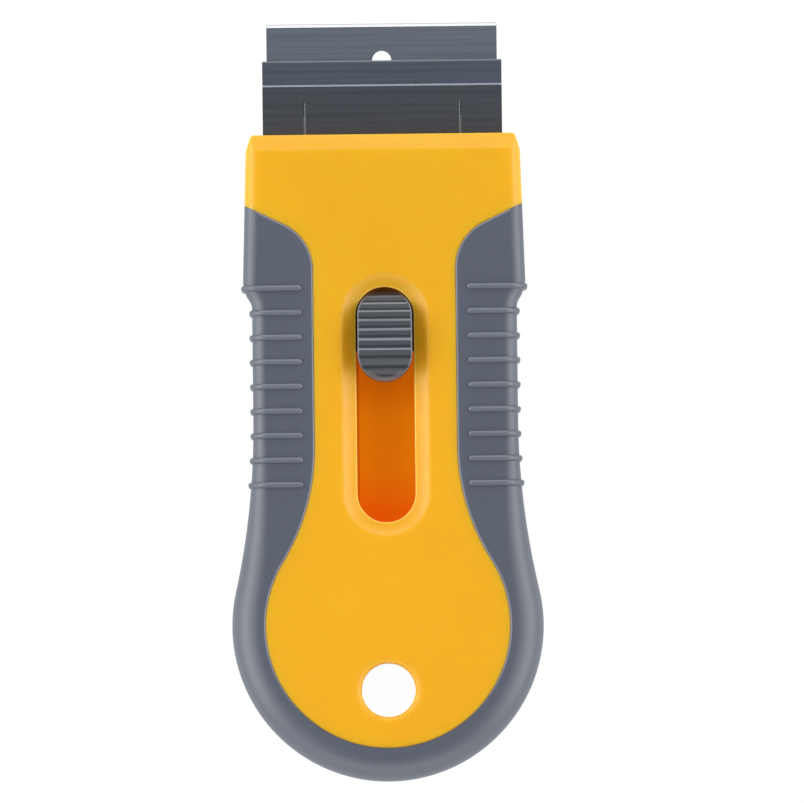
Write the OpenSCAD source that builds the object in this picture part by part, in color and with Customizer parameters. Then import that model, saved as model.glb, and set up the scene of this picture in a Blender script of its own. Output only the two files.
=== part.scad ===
// Razor blade scraper: a flat two-shell handle with soft grips, and a steel
// blade carrier that a thumb button slides out of the mouth.
// Every outline is drawn from the centre of the round tail, with +Y towards
// the blade, +X to the right and +Z out of the button side.

/* [Handle] */
// Length from the tail's centre to the mouth
mouth_y = 82; // [76:0.5:88]
// Length from the mouth to the shoulders
head_l = 24.4; // [22:0.1:28]
// How far the round tail stands out past the waist, on each side
tail_out = 3.9; // [3:0.1:6]
// How far the shoulders stand out past the waist, on each side
shoulder_out = 1.45; // [0.9:0.05:2]
// How far the head narrows from the shoulders to the mouth, on each side
head_taper = 0.65; // [0.2:0.05:0.9]
// Radius of each shoulder
shoulder_r = 5.2; // [4:0.1:7]
// Radius in the corner under each shoulder
shoulder_fillet_r = 1; // [0.6:0.1:2]
// Radius of the long flare from the waist to the tail
flare_r = 127; // [110:1:150]
// Thickness of the handle
handle_t = 14; // [13.6:0.2:16]
// Radius of the long edges
edge_r = 2.4; // [1.8:0.1:2.8]
// Radius of the edges round the tail
tail_edge_r = 5; // [3:0.1:5.4]
// Radius of the mouth's outer corners
mouth_corner_r = 4.4; // [3.4:0.1:6]
// Length over which the mouth's corners turn in
mouth_corner_l = 2.8; // [2:0.1:3]
// Length of the slope at the mouth's edge
mouth_bevel_l = 2.4; // [1.5:0.1:3]
// Depth of the slope at the mouth's edge
mouth_bevel_h = 1.4; // [0.8:0.1:2]
// Wall at the sides and at the mouth, grip included
side_wall = 1.85; // [1.7:0.05:1.85]
// Wall at the front and back faces
face_wall = 2; // [1.6:0.1:2.2]

/* [Grips] */
// Thickness of the soft grips
grip_t = 1; // [0.8:0.05:1.1]
// Width of each grip on the face at the waist
grip_waist_w = 10.2; // [8.5:0.1:11]
// Width of the grip on the face at the tail
grip_tail_w = 5.6; // [4.8:0.1:6.5]
// Radius of the panel's flare towards its round end
panel_flare_r = 36.5; // [33:0.5:40]
// Radius of the panel's bend towards the shoulders
panel_bend_r = 8.4; // [7:0.1:9]
// How far past the shoulders that bend begins
panel_bend_up = 1.9; // [1:0.1:3]
// Slope of the grips' upper edge, in degrees
border_slope = 26; // [18:1:32]
// Number of grip ribs on each side
rib_count = 9; // [6:1:10]
// Distance from one rib to the next
rib_pitch = 4.1; // [3.6:0.1:4.3]
// Width of a rib
rib_w = 1; // [0.8:0.1:1.4]
// Height of a rib above the grip
rib_h = 0.5; // [0.3:0.05:0.7]
// Distance from the shoulders to the first rib
rib_down = 1; // [0.8:0.1:3]
// Length of a rib on the face, in from the waist's side
rib_l = 8.3; // [6:0.1:8.5]

/* [Thumb slot] */
// Width of the slot
slot_w = 9.7; // [9.4:0.1:10]
// Length of the slot
slot_l = 39.3; // [36:0.1:40]
// Distance from the shoulders to the slot's front end
slot_down = 1.1; // [0.8:0.1:2]
// Width of the sloping ring round the slot
ring_w = 2.4; // [1.8:0.1:3]
// Depth of the sloping ring
ring_d = 1.2; // [0.6:0.1:1.4]
// Thickness of the rails under the slot's edges
rail_t = 1.4; // [1.2:0.1:1.6]

/* [Hanging hole] */
// Diameter of the hanging hole
hang_d = 9; // [7:0.5:10]
// Length from the tail's centre down to the hole's centre
hang_y = 10.75; // [10:0.25:12]
// Width of the slope at the hole's rims
hang_rim = 0.9; // [0.4:0.1:1.2]
// Wall of the tube round the hole
hang_wall = 1.8; // [1.2:0.1:2]

/* [Blade] */
// Length of the cutting edge
blade_w = 38.5; // [38:0.1:38.8]
// Height of the blade, from its spine to its edge
blade_h = 19; // [18.6:0.1:19.4]
// Thickness of the blade
blade_t = 0.25; // [0.2:0.05:0.35]
// Height of the ground cutting bevel
bevel_h = 0.55; // [0.3:0.05:1]
// Diameter of the hole in the blade
blade_hole_d = 3.2; // [2:0.1:4]
// Distance from the cutting edge to that hole
blade_hole_y = 6.2; // [5.6:0.1:7]
// Thickness of the folded spine
spine_t = 1.1; // [0.9:0.05:1.2]
// Height of the folded spine
spine_h = 3.5; // [2.5:0.1:4]

/* [Blade carrier] */
// Thickness of the carrier's sheet steel
sheet_t = 0.6; // [0.5:0.05:0.7]
// How far the carrier's lip stands out of the mouth
lip_out = 12.5; // [12:0.1:13]
// Height of the lip, up to the step behind it
lip_h = 4; // [3:0.1:5]
// Distance from the lip's edge to the sprung tongue's root
tongue_root = 7; // [6:0.1:8]
// Distance from the lip's edge to the sprung tongue's end
tongue_end = 48.7; // [48:0.1:49]
// Width of the clamp plate from each slit to its side
strip_w = 6.75; // [6:0.05:8]
// Width of the two slits beside the tongue
slit_w = 0.3; // [0.2:0.05:0.4]
// Width of each leg behind the carrier's wide part
leg_w = 4.2; // [3:0.1:5]

/* [Thumb button] */
// Length of the button
button_l = 15.7; // [15:0.1:17]
// Height of the button above the handle's face
button_h = 2.2; // [1.6:0.1:3]
// How far the button presses in
button_press = 1.2; // [0.9:0.1:1.3]
// Number of thumb ribs on the button
tooth_count = 10; // [8:1:12]
// Height of a thumb rib
tooth_h = 0.35; // [0.2:0.05:0.5]
// Length of the steep nose in front of the thumb ribs
nose_l = 1; // [0.5:0.1:1.5]
// How far the button's crown falls towards the nose
crown_front_drop = 4.6; // [3:0.1:5.5]
// How far the button's crown falls towards the tail
crown_rear_drop = 2; // [1:0.1:3]

/* [Hidden] */

// Overrun of every cut past the face that it opens
over = 1;
// Depth by which a rib or boss is rooted in its wall
root_d = 0.5;
// Running gap beside the carrier
side_gap = 0.2;
// Running gap over and under the carrier
lift_gap = 0.2;
// Gap between the blade and the lips that grip it
blade_fit = 0.03;
// Gap round the spine in its pocket
spine_gap = 0.1;
// Gap at either end of the blade in its pocket
pocket_gap = 0.15;
// Gap between a pin or thread and its hole
pin_fit = 0.04;
// Room between the carrier's way and the hollow's sides
wall_gap = 0.05;
// Gap at either end of the button's travel
stop_gap = 0.15;
// Gap between the button and the sides of the slot
button_gap = 0.3;

// Handle heights, from its back face
mid_z = handle_t / 2;
ceiling_z = handle_t - face_wall;

// Half widths, from the blade outwards: its pocket, the carrier, the carrier's way, the handle
flange_t = sheet_t;
pocket_x = blade_w / 2 + pocket_gap;
carrier_x = pocket_x + flange_t;
guide_x = carrier_x + side_gap;
waist_x = guide_x + wall_gap + side_wall;
head_x = waist_x + shoulder_out;
mouth_x = head_x - head_taper;
tail_r = waist_x + tail_out;
slot_x = slot_w / 2;

// Places along the handle that follow the shoulders
shoulder_y = mouth_y - head_l;
slot_y = shoulder_y - slot_down;
rib_y = shoulder_y - rib_down;
panel_bend_y = shoulder_y + panel_bend_up;

// The shoulder drops to the waist through two arcs that meet at this angle
shoulder_a = acos(1 - (head_x - waist_x) / (shoulder_r + shoulder_fillet_r));
fillet_y = shoulder_y - (shoulder_r + shoulder_fillet_r) * sin(shoulder_a);
// The flare leaves the waist here, and meets the tail at this angle
flare_y = sqrt(pow(flare_r + tail_r, 2) - pow(flare_r + waist_x, 2));
flare_a = atan2(flare_y, flare_r + waist_x);
// The mouth's corner arc runs between these angles, and the head's sides slope
mouth_corner_a = asin(mouth_corner_l / mouth_corner_r);
corner_start_a = mouth_corner_a / 5;
head_a = atan2(head_x - mouth_x, mouth_y - mouth_corner_l - shoulder_y);
// How far the handle's sides are drawn past the mouth before it is cut
mouth_run = 2 * edge_r;
// The panel's flare, in the same way as the handle's
panel_x = waist_x - grip_waist_w;
panel_tail_r = tail_r - grip_tail_w;
panel_flare_y = sqrt(pow(panel_flare_r + panel_tail_r, 2) - pow(panel_flare_r + panel_x, 2));
panel_flare_a = atan2(panel_flare_y, panel_flare_r + panel_x);
border_x = head_x + over;

// Steps that each arc is drawn in
corner_steps = 4;
shoulder_steps = 5;
fillet_steps = 3;
flare_steps = 8;
tail_steps = 16;
edge_steps = 6;
ring_turn = 90 / edge_steps;
// Roundness of circles, and of small pins
$fn = 48;
pin_fn = 24;

// Blade carrier, from its lip backwards
lip_y = mouth_y + lip_out;
step_y = lip_y - lip_h;
root_y = lip_y - tongue_root;
tongue_y = lip_y - tongue_end;
edge_y = lip_y + blade_hole_y;
spine_y = edge_y - blade_h;
slit_x = carrier_x - strip_w;
tongue_x = slit_x - slit_w;
leg_x = slit_x + leg_w;
// Length of the spacers between the two plates
spacer_l = 10;
spacer_y = spine_y - spine_gap - spacer_l;
// How far the plates run on behind the spacers
plate_margin = 1;
plate_y = spacer_y - plate_margin;
// How far the legs reach past the tongue's end
leg_short = 1.6;
leg_y = tongue_y + leg_short;

// Carrier heights: backing plate, spine pocket, clamp plate
carrier_z = mid_z - spine_t / 2 - spine_gap / 2 - sheet_t;
pocket_z = carrier_z + sheet_t;
spacer_t = spine_t + spine_gap;
clamp_z = pocket_z + spacer_t;
carrier_top = clamp_z + sheet_t;
blade_z = pocket_z + spacer_t / 2 - blade_t / 2;
front_lip_z = blade_z + blade_t + blade_fit;
rear_lip_z = blade_z - blade_fit - sheet_t;
// Fold of the spine behind the blade's back edge
spine_fold = 0.5;
// Length of the slope in each step
step_run = 0.3;

// Thumb button, on the tongue
button_x = slot_x - button_gap;
button_front = slot_y - stop_gap;
button_rear = button_front - button_l;
travel = slot_l - button_l - 2 * stop_gap;
button_top = handle_t + button_h;

// Lock pawls on the tongue, and their notches in the slot's rails
pawl_l = 1.4;
pawl_gap = 0.2;
pawl_y = button_front - button_l / 4;
rail_z = carrier_top + lift_gap + pawl_gap;
pawl_h = button_press + lift_gap / 2;
notch_h = pawl_h + pawl_gap;
// Half width of the tongue's narrow end, and where the tongue begins and ends to narrow
narrow_x = slot_x + rail_t + pawl_gap + side_gap;
narrow_high_y = spacer_y;
narrow_low_y = pawl_y + 2 * pawl_l;
// The rails end short of the slot's rear end
rail_short = 3.4;
rail_y = slot_y - slot_l + rail_short;

// Guide ribs of the shells, over and under the carrier's legs
guide_t = 1.3;
guide_rib_x = slit_x + side_gap;
guide_end = tongue_y - travel - over;
plate_rest_y = plate_y - travel - side_gap;

// Housing screws: place, head, shank and bosses
screw_inset = 13.4;
screw_x = tail_r - screw_inset;
screw_high_y = 9.5;
screw_low_y = -8.5;
screw_r = 1.3;
screw_head_r = 2.3;
screw_head_h = 1.7;
screw_sink = 0.4;
screw_l = 8;
screw_bite = 0.8;
screw_wall = 1.3;
screw_seat_z = screw_sink + screw_head_h;
// Locating pegs of the front shell
peg_r = 0.7;
peg_l = 2.5;
peg_inset = 5.5;
peg_high_y = mouth_y - peg_inset;
peg_low_y = shoulder_y + shoulder_r;
peg_x = (guide_x + head_x - grip_t) / 2;

// Rivets of the carrier
rivet_r = 0.8;
rivet_head_r = 1.3;
rivet_head_h = 0.35;
rivet_x = (slit_x + carrier_x) / 2;
// Distance from the spacers' rear end to the first rivets, and from the others' heads to the mouth's wall
rivet_inset = 2.5;
rivet_clear = 0.4;
spacer_x = slit_x + plate_margin;
spacer_w = pocket_x - plate_margin - spacer_x;

// Screws and foot of the button
foot_t = 1;
foot_margin = 0.4;
button_screw_r = 0.9;
button_screw_head_r = 1.6;
button_screw_head_h = 0.9;
button_screw_l = 4;
button_screw_pitch = 4.8;
button_screw_y = tongue_y + foot_margin + button_screw_head_r + side_gap;

// The button's crown is two arcs that meet at this share of its length, and each
// thumb rib has its crest at this share of its pitch
crown_share = 0.36;
crest_share = 0.7;
crown_y = button_rear + button_l * crown_share;
nose_y = button_front - nose_l;
crown_front_r = arc_radius(nose_y - crown_y, crown_front_drop);
crown_rear_r = arc_radius(crown_y - button_rear, crown_rear_drop);
front_a = asin((nose_y - crown_y) / crown_front_r);
rear_a = asin((crown_y - button_rear) / crown_rear_r);
// Step from one rib to the next along the crown, as an angle times a radius
tooth_pitch = (front_a * crown_front_r + rear_a * crown_rear_r) / tooth_count;

// Width and depth of the cross in a screw's head, as shares of the head
cross_w_share = 0.22;
cross_l_share = 0.6;
cross_d_share = 0.6;
// How much of the rounder edge at the tail the hollow steps in by
hollow_share = 0.8;

// The whole part stands on the middle of its box
centre_y = (edge_y - tail_r) / 2;
// Reach of a block that is larger than the handle
reach = mouth_y + tail_r;

// Radius of an arc that leaves level and falls by drop over a length
function arc_radius(length, drop) = (pow(length, 2) + pow(drop, 2)) / (2 * drop);

// Arc as points with their outward normals; turn is -1 where the arc is hollow
function arc(c, r, a0, a1, steps, turn = 1) =
  [for (i = [0:steps]) let (a = a0 + (a1 - a0) * i / steps)
    [c[0] + r * cos(a), c[1] + r * sin(a), turn * cos(a), turn * sin(a)]];

// Right side of the handle, from beyond the mouth down to the tail's end
function right_side() = concat(
  [[mouth_x - (mouth_run + mouth_corner_l) * tan(head_a), mouth_y + mouth_run,
    cos(head_a) / (1 + sin(head_a)), 1]],
  arc([head_x - shoulder_r, shoulder_y], shoulder_r, head_a, -shoulder_a, shoulder_steps),
  arc([waist_x + shoulder_fillet_r, fillet_y], shoulder_fillet_r,
    180 - shoulder_a * (fillet_steps - 1) / fillet_steps, 180, fillet_steps - 1, -1),
  arc([waist_x + flare_r, flare_y], flare_r, 180, 180 + flare_a, flare_steps, -1),
  arc([0, 0], tail_r, flare_a * (tail_steps - 1) / tail_steps - 90 / tail_steps, -90,
    tail_steps - 1));

function mirrored(points) =
  [for (i = [len(points) - 1:-1:0]) if (abs(points[i][0]) > pin_fit)
    [-points[i][0], points[i][1], -points[i][2], points[i][3]]];

outline = concat(right_side(), mirrored(right_side()));

function smooth(t) = t <= 0 ? 0 : t >= 1 ? 1 : t * t * (3 - 2 * t);
// Edge radius at a distance from the tail's centre
function edge_at(y) = edge_r + (tail_edge_r - edge_r) * smooth(1 - y / flare_y);
function moved_in(p, d) = [p[0] - p[2] * d, p[1] - p[3] * d];

// How far each ring of the rounded edge lies in from the side and down from the
// face, as shares of its radius; the last ring runs on past the face
function in_share(j) = j < edge_steps ? 1 - cos(j * ring_turn) : 1 + cos(90 - ring_turn);
function down_share(j) = j < edge_steps ? 1 - sin(j * ring_turn) : sin(90 - ring_turn) - 1;

// Half of the handle's solid form above the parting plane, drawn in by inset,
// with its straight wall carried below the plane by skirt
module half_form(inset, skirt = 0) {
  count = len(outline);
  rings = edge_steps + 1;
  points = [
    for (p = outline) let (q = moved_in(p, inset)) [q[0], q[1], -skirt - over],
    for (j = [0:edge_steps], p = outline)
      let (r = edge_at(p[1]) - inset, q = moved_in(p, inset + r * in_share(j)))
        [q[0], q[1], mid_z - inset - r * down_share(j)]];
  faces = concat(
    [[for (i = [count - 1:-1:0]) i]],
    [[for (i = [0:count - 1]) rings * count + i]],
    [for (j = [0:rings - 1], i = [0:count - 1]) let (k = (i + 1) % count)
      [j * count + i, j * count + k, (j + 1) * count + k]],
    [for (j = [0:rings - 1], i = [0:count - 1]) let (k = (i + 1) % count)
      [j * count + i, (j + 1) * count + k, (j + 1) * count + i]]);
  intersection() {
    mirror([1, 0, 0])
      polyhedron(points = points, faces = faces);
    translate([-reach, -reach, -skirt])
      cube([2 * reach, 2 * reach, mid_z - inset + skirt]);
  }
}

// Corner of the mouth seen from the front face, from outside the handle's right side to beyond the mouth
function mouth_corner() =
  let (c = [mouth_x - mouth_corner_r, mouth_y - mouth_corner_l],
    low = [c[0] + mouth_corner_r * cos(corner_start_a), c[1] + mouth_corner_r * sin(corner_start_a)],
    side = mouth_x + over)
  concat([[side, low[1] - (side - low[0]) / tan(corner_start_a)]],
    [for (p = arc(c, mouth_corner_r, corner_start_a, mouth_corner_a, corner_steps)) [p[0], p[1]]],
    [[mouth_x - mouth_corner_r * (1 - cos(mouth_corner_a)) - over * tan(mouth_corner_a), mouth_y + over]]);

// Space in which the mouth's end lies: round corners, and a slope at the face
module mouth_form() {
  right = mouth_corner();
  left = [for (i = [len(right) - 1:-1:0]) [-right[i][0], right[i][1]]];
  intersection() {
    translate([0, 0, -2 * over])
      linear_extrude(mid_z + 4 * over)
        polygon(concat([[reach, -reach], [reach, right[0][1]]], right, left,
          [[-reach, right[0][1]], [-reach, -reach]]));
    across(3 * reach)
      polygon([[-2 * reach, -over], [mouth_y, -over], [mouth_y, mid_z - mouth_bevel_h],
        [mouth_y - 2 * mouth_bevel_l, mid_z + mouth_bevel_h], [-2 * reach, mid_z + 2 * over]]);
  }
}

// Hollow inside both shells
module hollow_2d() {
  difference() {
    polygon([for (p = outline) moved_in(p, side_wall + hollow_share * (edge_at(p[1]) - edge_r))]);
    for (side = [-1, 1])
      translate([side * (guide_x + head_x) - head_x, fillet_y])
        square([2 * head_x, reach]);
    translate([-head_x, mouth_y - side_wall])
      square(2 * head_x);
  }
}

// Bare panel between the grips, run out past the head's sides
function panel_side() = concat(
  [[border_x, panel_bend_y + panel_bend_r * cos(border_slope)
    + (border_x - panel_x - panel_bend_r * (1 - sin(border_slope))) * tan(border_slope)]],
  [for (p = arc([panel_x + panel_bend_r, panel_bend_y], panel_bend_r,
    90 + border_slope, 180, flare_steps)) [p[0], p[1]]],
  [for (p = arc([panel_x + panel_flare_r, panel_flare_y], panel_flare_r,
    180, 180 + panel_flare_a, flare_steps)) [p[0], p[1]]],
  [for (i = [1:tail_steps]) let (a = panel_flare_a - (panel_flare_a + 90) * i / tail_steps)
    [panel_tail_r * cos(a), panel_tail_r * sin(a)]]);

module panel_2d() {
  right = panel_side();
  left = [for (i = [len(right) - 2:-1:0]) [-right[i][0], right[i][1]]];
  polygon(concat([[border_x, 2 * reach]], right, left, [[-border_x, 2 * reach]]));
}

// Everything outside the panel, where the grips lie
module grip_space(height) {
  translate([0, 0, -2 * over])
    linear_extrude(height + 3 * over)
      difference() {
        square(2 * reach, center = true);
        panel_2d();
      }
}

module in_pairs() {
  for (side = [-1, 1])
    scale([side, 1, 1])
      children();
}

// Half width of the handle beside the ribs
function side_at(y) = y > shoulder_y ? head_x
  : y > fillet_y ? max(waist_x, head_x - shoulder_r + sqrt(pow(shoulder_r, 2) - pow(shoulder_y - y, 2)))
  : y > flare_y ? waist_x
  : waist_x + flare_r - sqrt(pow(flare_r, 2) - pow(flare_y - y, 2));

// One rib, which wraps over the edge at the right
module rib(y, rib_top) {
  side = side_at(y);
  r = edge_at(y);
  inner_x = waist_x - rib_l + rib_w / 2;
  intersection() {
    union() {
      translate([0, y + rib_w / 2, 0])
        rotate([90, 0, 0])
          linear_extrude(rib_w)
            polygon(concat([[inner_x, -over / 2], [side + rib_h, -over / 2]],
              [for (i = [0:edge_steps]) let (a = 90 * i / edge_steps)
                [side - r + (r + rib_h) * cos(a), mid_z - r + (r + rib_h) * sin(a)]],
              [[inner_x, mid_z + rib_h]]));
      translate([inner_x, y, -over / 2])
        cylinder(h = mid_z + rib_h + over / 2, d = rib_w, $fn = pin_fn);
    }
    translate([0, y - rib_w, -over])
      cube([2 * head_x, 2 * rib_w, rib_top + over]);
  }
}

// One grip, on the front side of the parting plane
module grip_form(rib_top) {
  difference() {
    union() {
      intersection() {
        half_form(0, over);
        grip_space(mid_z);
      }
      in_pairs()
        for (i = [0:rib_count - 1])
          rib(rib_y - i * rib_pitch, rib_top);
    }
    half_form(grip_t, 4 * over);
    translate([-reach, -reach, -3 * over])
      cube([2 * reach, 2 * reach, 3 * over]);
  }
}

// One bare shell without its inner ribs, on the front side of the parting plane
module shell_form() {
  difference() {
    intersection() {
      half_form(0);
      mouth_form();
    }
    difference() {
      grip_space(mid_z);
      half_form(grip_t, 3 * over);
    }
    translate([0, 0, -over])
      linear_extrude(mid_z - face_wall + over)
        hollow_2d();
  }
}

// Turns a front half into a rear half
module rear_side() {
  translate([0, 0, mid_z])
    mirror([0, 0, 1])
      children();
}

module front_side() {
  translate([0, 0, mid_z])
    children();
}

// Moves a piece from the tail's centre to the middle of the part's box
module placed() {
  translate([0, -centre_y, 0])
    children();
}

// Upright solid with two round ends, whose front end lies at y
module stadium(y, length, radius, z, height) {
  translate([0, y - radius, z])
    cylinder(h = height, r = radius);
  translate([0, y - length + radius, z])
    cylinder(h = height, r = radius);
  translate([-radius, y - length + radius, z])
    cube([2 * radius, length - 2 * radius, height]);
}

// Sloping ring round the slot, as a cutter
module slot_ring() {
  top_z = handle_t + ring_d;
  low_z = handle_t - ring_d;
  wide = slot_x + 2 * ring_w;
  for (y = [slot_y - slot_x, slot_y - slot_l + slot_x])
    translate([0, y, low_z])
      cylinder(h = 2 * ring_d, r1 = slot_x, r2 = wide);
  translate([0, slot_y - slot_x, 0])
    rotate([90, 0, 0])
      linear_extrude(slot_l - slot_w)
        polygon([[-slot_x, low_z], [slot_x, low_z], [wide, top_z], [-wide, top_z]]);
}

// Hole with sloping rims, as a cutter through the whole handle
module hang_cut() {
  translate([0, -hang_y, -over])
    cylinder(h = handle_t + 2 * over, d = hang_d);
  for (z = [-hang_rim, handle_t - hang_rim])
    translate([0, -hang_y, z])
      cylinder(h = 2 * hang_rim, r1 = hang_d / 2 + (z < 0 ? 2 * hang_rim : 0),
        r2 = hang_d / 2 + (z < 0 ? 0 : 2 * hang_rim));
}

module at_screws() {
  in_pairs()
    for (y = [screw_high_y, screw_low_y])
      translate([screw_x, y, 0])
        children();
}

module at_pegs() {
  in_pairs()
    for (y = [peg_high_y, peg_low_y])
      translate([peg_x, y, 0])
        children();
}

// Opening of the mouth round the carrier, as a cutter
module mouth_cut() {
  translate([-guide_x, mouth_y - 2 * side_wall, carrier_z - lift_gap])
    cube([2 * guide_x, 2 * side_wall + over, carrier_top - carrier_z + 2 * lift_gap]);
}

module front_shell() {
  color("goldenrod")
    placed()
      difference() {
        union() {
          front_side()
            shell_form();
          in_pairs()
            translate([guide_rib_x, guide_end, carrier_top + lift_gap])
              cube([guide_t, mouth_y - side_wall - guide_end + root_d,
                ceiling_z - carrier_top - lift_gap + root_d]);
          intersection() {
            stadium(slot_y + rail_t, slot_l + 2 * rail_t, slot_x + rail_t, rail_z,
              ceiling_z - rail_z + root_d);
            translate([-head_x, rail_y, 0])
              cube([2 * head_x, mouth_y, handle_t]);
          }
          translate([0, -hang_y, mid_z])
            cylinder(h = ceiling_z - mid_z + root_d, r = hang_d / 2 + hang_wall);
          at_screws()
            translate([0, 0, mid_z])
              cylinder(h = ceiling_z - mid_z + root_d, r = screw_r + screw_wall);
          at_pegs()
            translate([0, 0, mid_z - peg_l])
              cylinder(h = peg_l + root_d, r = peg_r, $fn = pin_fn);
        }
        stadium(slot_y, slot_l, slot_x, mid_z, handle_t);
        slot_ring();
        hang_cut();
        mouth_cut();
        at_screws()
          translate([0, 0, mid_z - over])
            cylinder(h = over + screw_seat_z + screw_l + screw_bite - mid_z, r = screw_r + pin_fit);
        for (i = [0:2])
          translate([-slot_x - rail_t - over, pawl_y - pawl_l / 2 - pawl_gap - i * travel / 2,
            rail_z - over])
            cube([2 * (slot_x + rail_t + over), pawl_l + 2 * pawl_gap, notch_h - pawl_gap + over]);
      }
}

module rear_shell() {
  high_z = clamp_z - lift_gap;
  low_z = carrier_z - lift_gap;
  color("orange")
    placed()
      difference() {
        union() {
          rear_side()
            shell_form();
          in_pairs() {
            translate([guide_rib_x, guide_end, face_wall - root_d])
              cube([guide_t, plate_rest_y - guide_end, high_z - face_wall + root_d]);
            translate([guide_rib_x, guide_end, face_wall - root_d])
              cube([guide_t, mouth_y - side_wall - guide_end + root_d, low_z - face_wall + root_d]);
          }
          translate([0, -hang_y, face_wall - root_d])
            cylinder(h = mid_z - face_wall + root_d, r = hang_d / 2 + hang_wall);
          at_screws()
            translate([0, 0, face_wall - root_d])
              cylinder(h = mid_z - face_wall + root_d, r = screw_head_r + screw_wall);
        }
        hang_cut();
        mouth_cut();
        at_screws() {
          translate([0, 0, -over])
            cylinder(h = over + screw_seat_z, r = screw_head_r + side_gap);
          cylinder(h = handle_t, r = screw_r + side_gap);
        }
        at_pegs()
          translate([0, 0, mid_z - peg_l - side_gap])
            cylinder(h = handle_t, r = peg_r + pin_fit, $fn = pin_fn);
      }
}

module front_grip() {
  color("slategray")
    placed()
      front_side()
        grip_form(mid_z + rib_h);
}

module rear_grip() {
  color("slategray")
    placed()
      rear_side()
        grip_form(mid_z - pin_fit);
}

// Screw with its head's face down at z 0
module screw(head_r, head_h, shank_r, shank_l) {
  tip_h = shank_r;
  difference() {
    cylinder(h = head_h, r = head_r);
    for (turn = [0, 90])
      rotate([0, 0, turn])
        translate([-head_r * cross_l_share, -head_r * cross_w_share / 2, -over])
          cube([2 * head_r * cross_l_share, head_r * cross_w_share, over + head_h * cross_d_share]);
  }
  translate([0, 0, head_h])
    cylinder(h = shank_l - tip_h, r = shank_r);
  translate([0, 0, head_h + shank_l - tip_h])
    cylinder(h = tip_h, r1 = shank_r, r2 = shank_r / 2);
}

module housing_screws() {
  color("silver")
    placed()
      at_screws()
        translate([0, 0, screw_sink])
          screw(screw_head_r, screw_head_h, screw_r, screw_l);
}

// Solid whose side view is drawn as points of y and z, across the middle line
module across(width) {
  rotate([90, 0, 90])
    linear_extrude(width, center = true)
      children();
}

// Side view of a sheet with one step; the sheet runs from y0 at z0 to y1 at z1
module stepped_sheet(y0, z0, step, y1, z1) {
  way = y1 > y0 ? 1 : -1;
  bend = atan2(z1 - z0, step_run);
  shift = way * sheet_t * tan(bend / 2);
  polygon([[y0, z0], [step + shift, z0], [step + way * step_run + shift, z1], [y1, z1],
    [y1, z1 + sheet_t], [step + way * step_run, z1 + sheet_t], [step, z0 + sheet_t],
    [y0, z0 + sheet_t]]);
}

module at_rivets() {
  for (y = [spacer_y + rivet_inset, mouth_y - side_wall - rivet_clear - rivet_head_r])
    translate([rivet_x, y, 0])
      children();
}

module rivet_holes() {
  in_pairs()
    at_rivets()
      cylinder(h = handle_t, r = rivet_r + pin_fit);
}

module clamp_plate() {
  color("dimgray")
    placed()
      difference() {
        union() {
          across(2 * carrier_x)
            stepped_sheet(lip_y, front_lip_z, step_y, leg_y, clamp_z);
          in_pairs() {
            translate([pocket_x, plate_y, carrier_z])
              cube([flange_t, step_y - step_run - plate_y, clamp_z - carrier_z + sheet_t / 2]);
            translate([pocket_x, plate_y, carrier_z])
              cube([flange_t, lip_y - plate_y, front_lip_z - carrier_z + sheet_t / 2]);
          }
        }
        translate([-slit_x, leg_y - over, 0])
          cube([2 * slit_x, root_y - leg_y + over, handle_t]);
        in_pairs()
          translate([leg_x, leg_y - over, 0])
            cube([carrier_x, plate_y - leg_y + over, handle_t]);
        rivet_holes();
      }
}

module at_button_screws() {
  for (y = [button_screw_y, button_screw_y + button_screw_pitch])
    translate([0, y, 0])
      children();
}

module lock_tongue() {
  color("dimgray")
    placed() {
      difference() {
        translate([0, 0, clamp_z])
          linear_extrude(sheet_t)
            polygon([[-tongue_x, root_y], [tongue_x, root_y], [tongue_x, narrow_high_y],
              [narrow_x, narrow_low_y], [narrow_x, tongue_y], [-narrow_x, tongue_y],
              [-narrow_x, narrow_low_y], [-tongue_x, narrow_high_y]]);
        at_button_screws()
          cylinder(h = handle_t, r = button_screw_r + side_gap);
      }
      in_pairs()
        translate([slot_x + pawl_gap / 2, pawl_y - pawl_l / 2, clamp_z + sheet_t / 2])
          cube([rail_t - pawl_gap, pawl_l, pawl_h + lift_gap + sheet_t / 2]);
    }
}

module backing_plate() {
  inset = side_gap / 2;
  color("gray")
    placed()
      difference() {
        across(2 * (pocket_x - inset))
          stepped_sheet(plate_y, carrier_z, step_y - step_run, lip_y - side_gap, rear_lip_z);
        rivet_holes();
      }
}

module spacer() {
  difference() {
    translate([spacer_x, spacer_y, pocket_z])
      cube([spacer_w, spacer_l, spacer_t]);
    at_rivets()
      cylinder(h = handle_t, r = rivet_r + pin_fit);
  }
}

module right_spacer() {
  color("silver")
    placed()
      spacer();
}

module left_spacer() {
  color("silver")
    placed()
      mirror([1, 0, 0])
        spacer();
}

module carrier_rivets() {
  color("silver")
    placed()
      in_pairs()
        at_rivets() {
          translate([0, 0, carrier_z - rivet_head_h])
            cylinder(h = rivet_head_h, r = rivet_head_r);
          translate([0, 0, carrier_z - rivet_head_h / 2])
            cylinder(h = carrier_top - carrier_z + rivet_head_h, r = rivet_r);
          translate([0, 0, carrier_top])
            cylinder(h = rivet_head_h, r = rivet_head_r);
        }
}

module razor_blade() {
  back_y = spine_y + spine_fold;
  mid_blade = blade_z + blade_t / 2;
  color("slategray")
    placed()
      difference() {
        across(blade_w)
          polygon([[back_y, blade_z], [edge_y - bevel_h, blade_z], [edge_y, mid_blade],
            [edge_y - bevel_h, blade_z + blade_t], [back_y, blade_z + blade_t]]);
        translate([0, edge_y - blade_hole_y, 0])
          cylinder(h = handle_t, d = blade_hole_d);
      }
}

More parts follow.
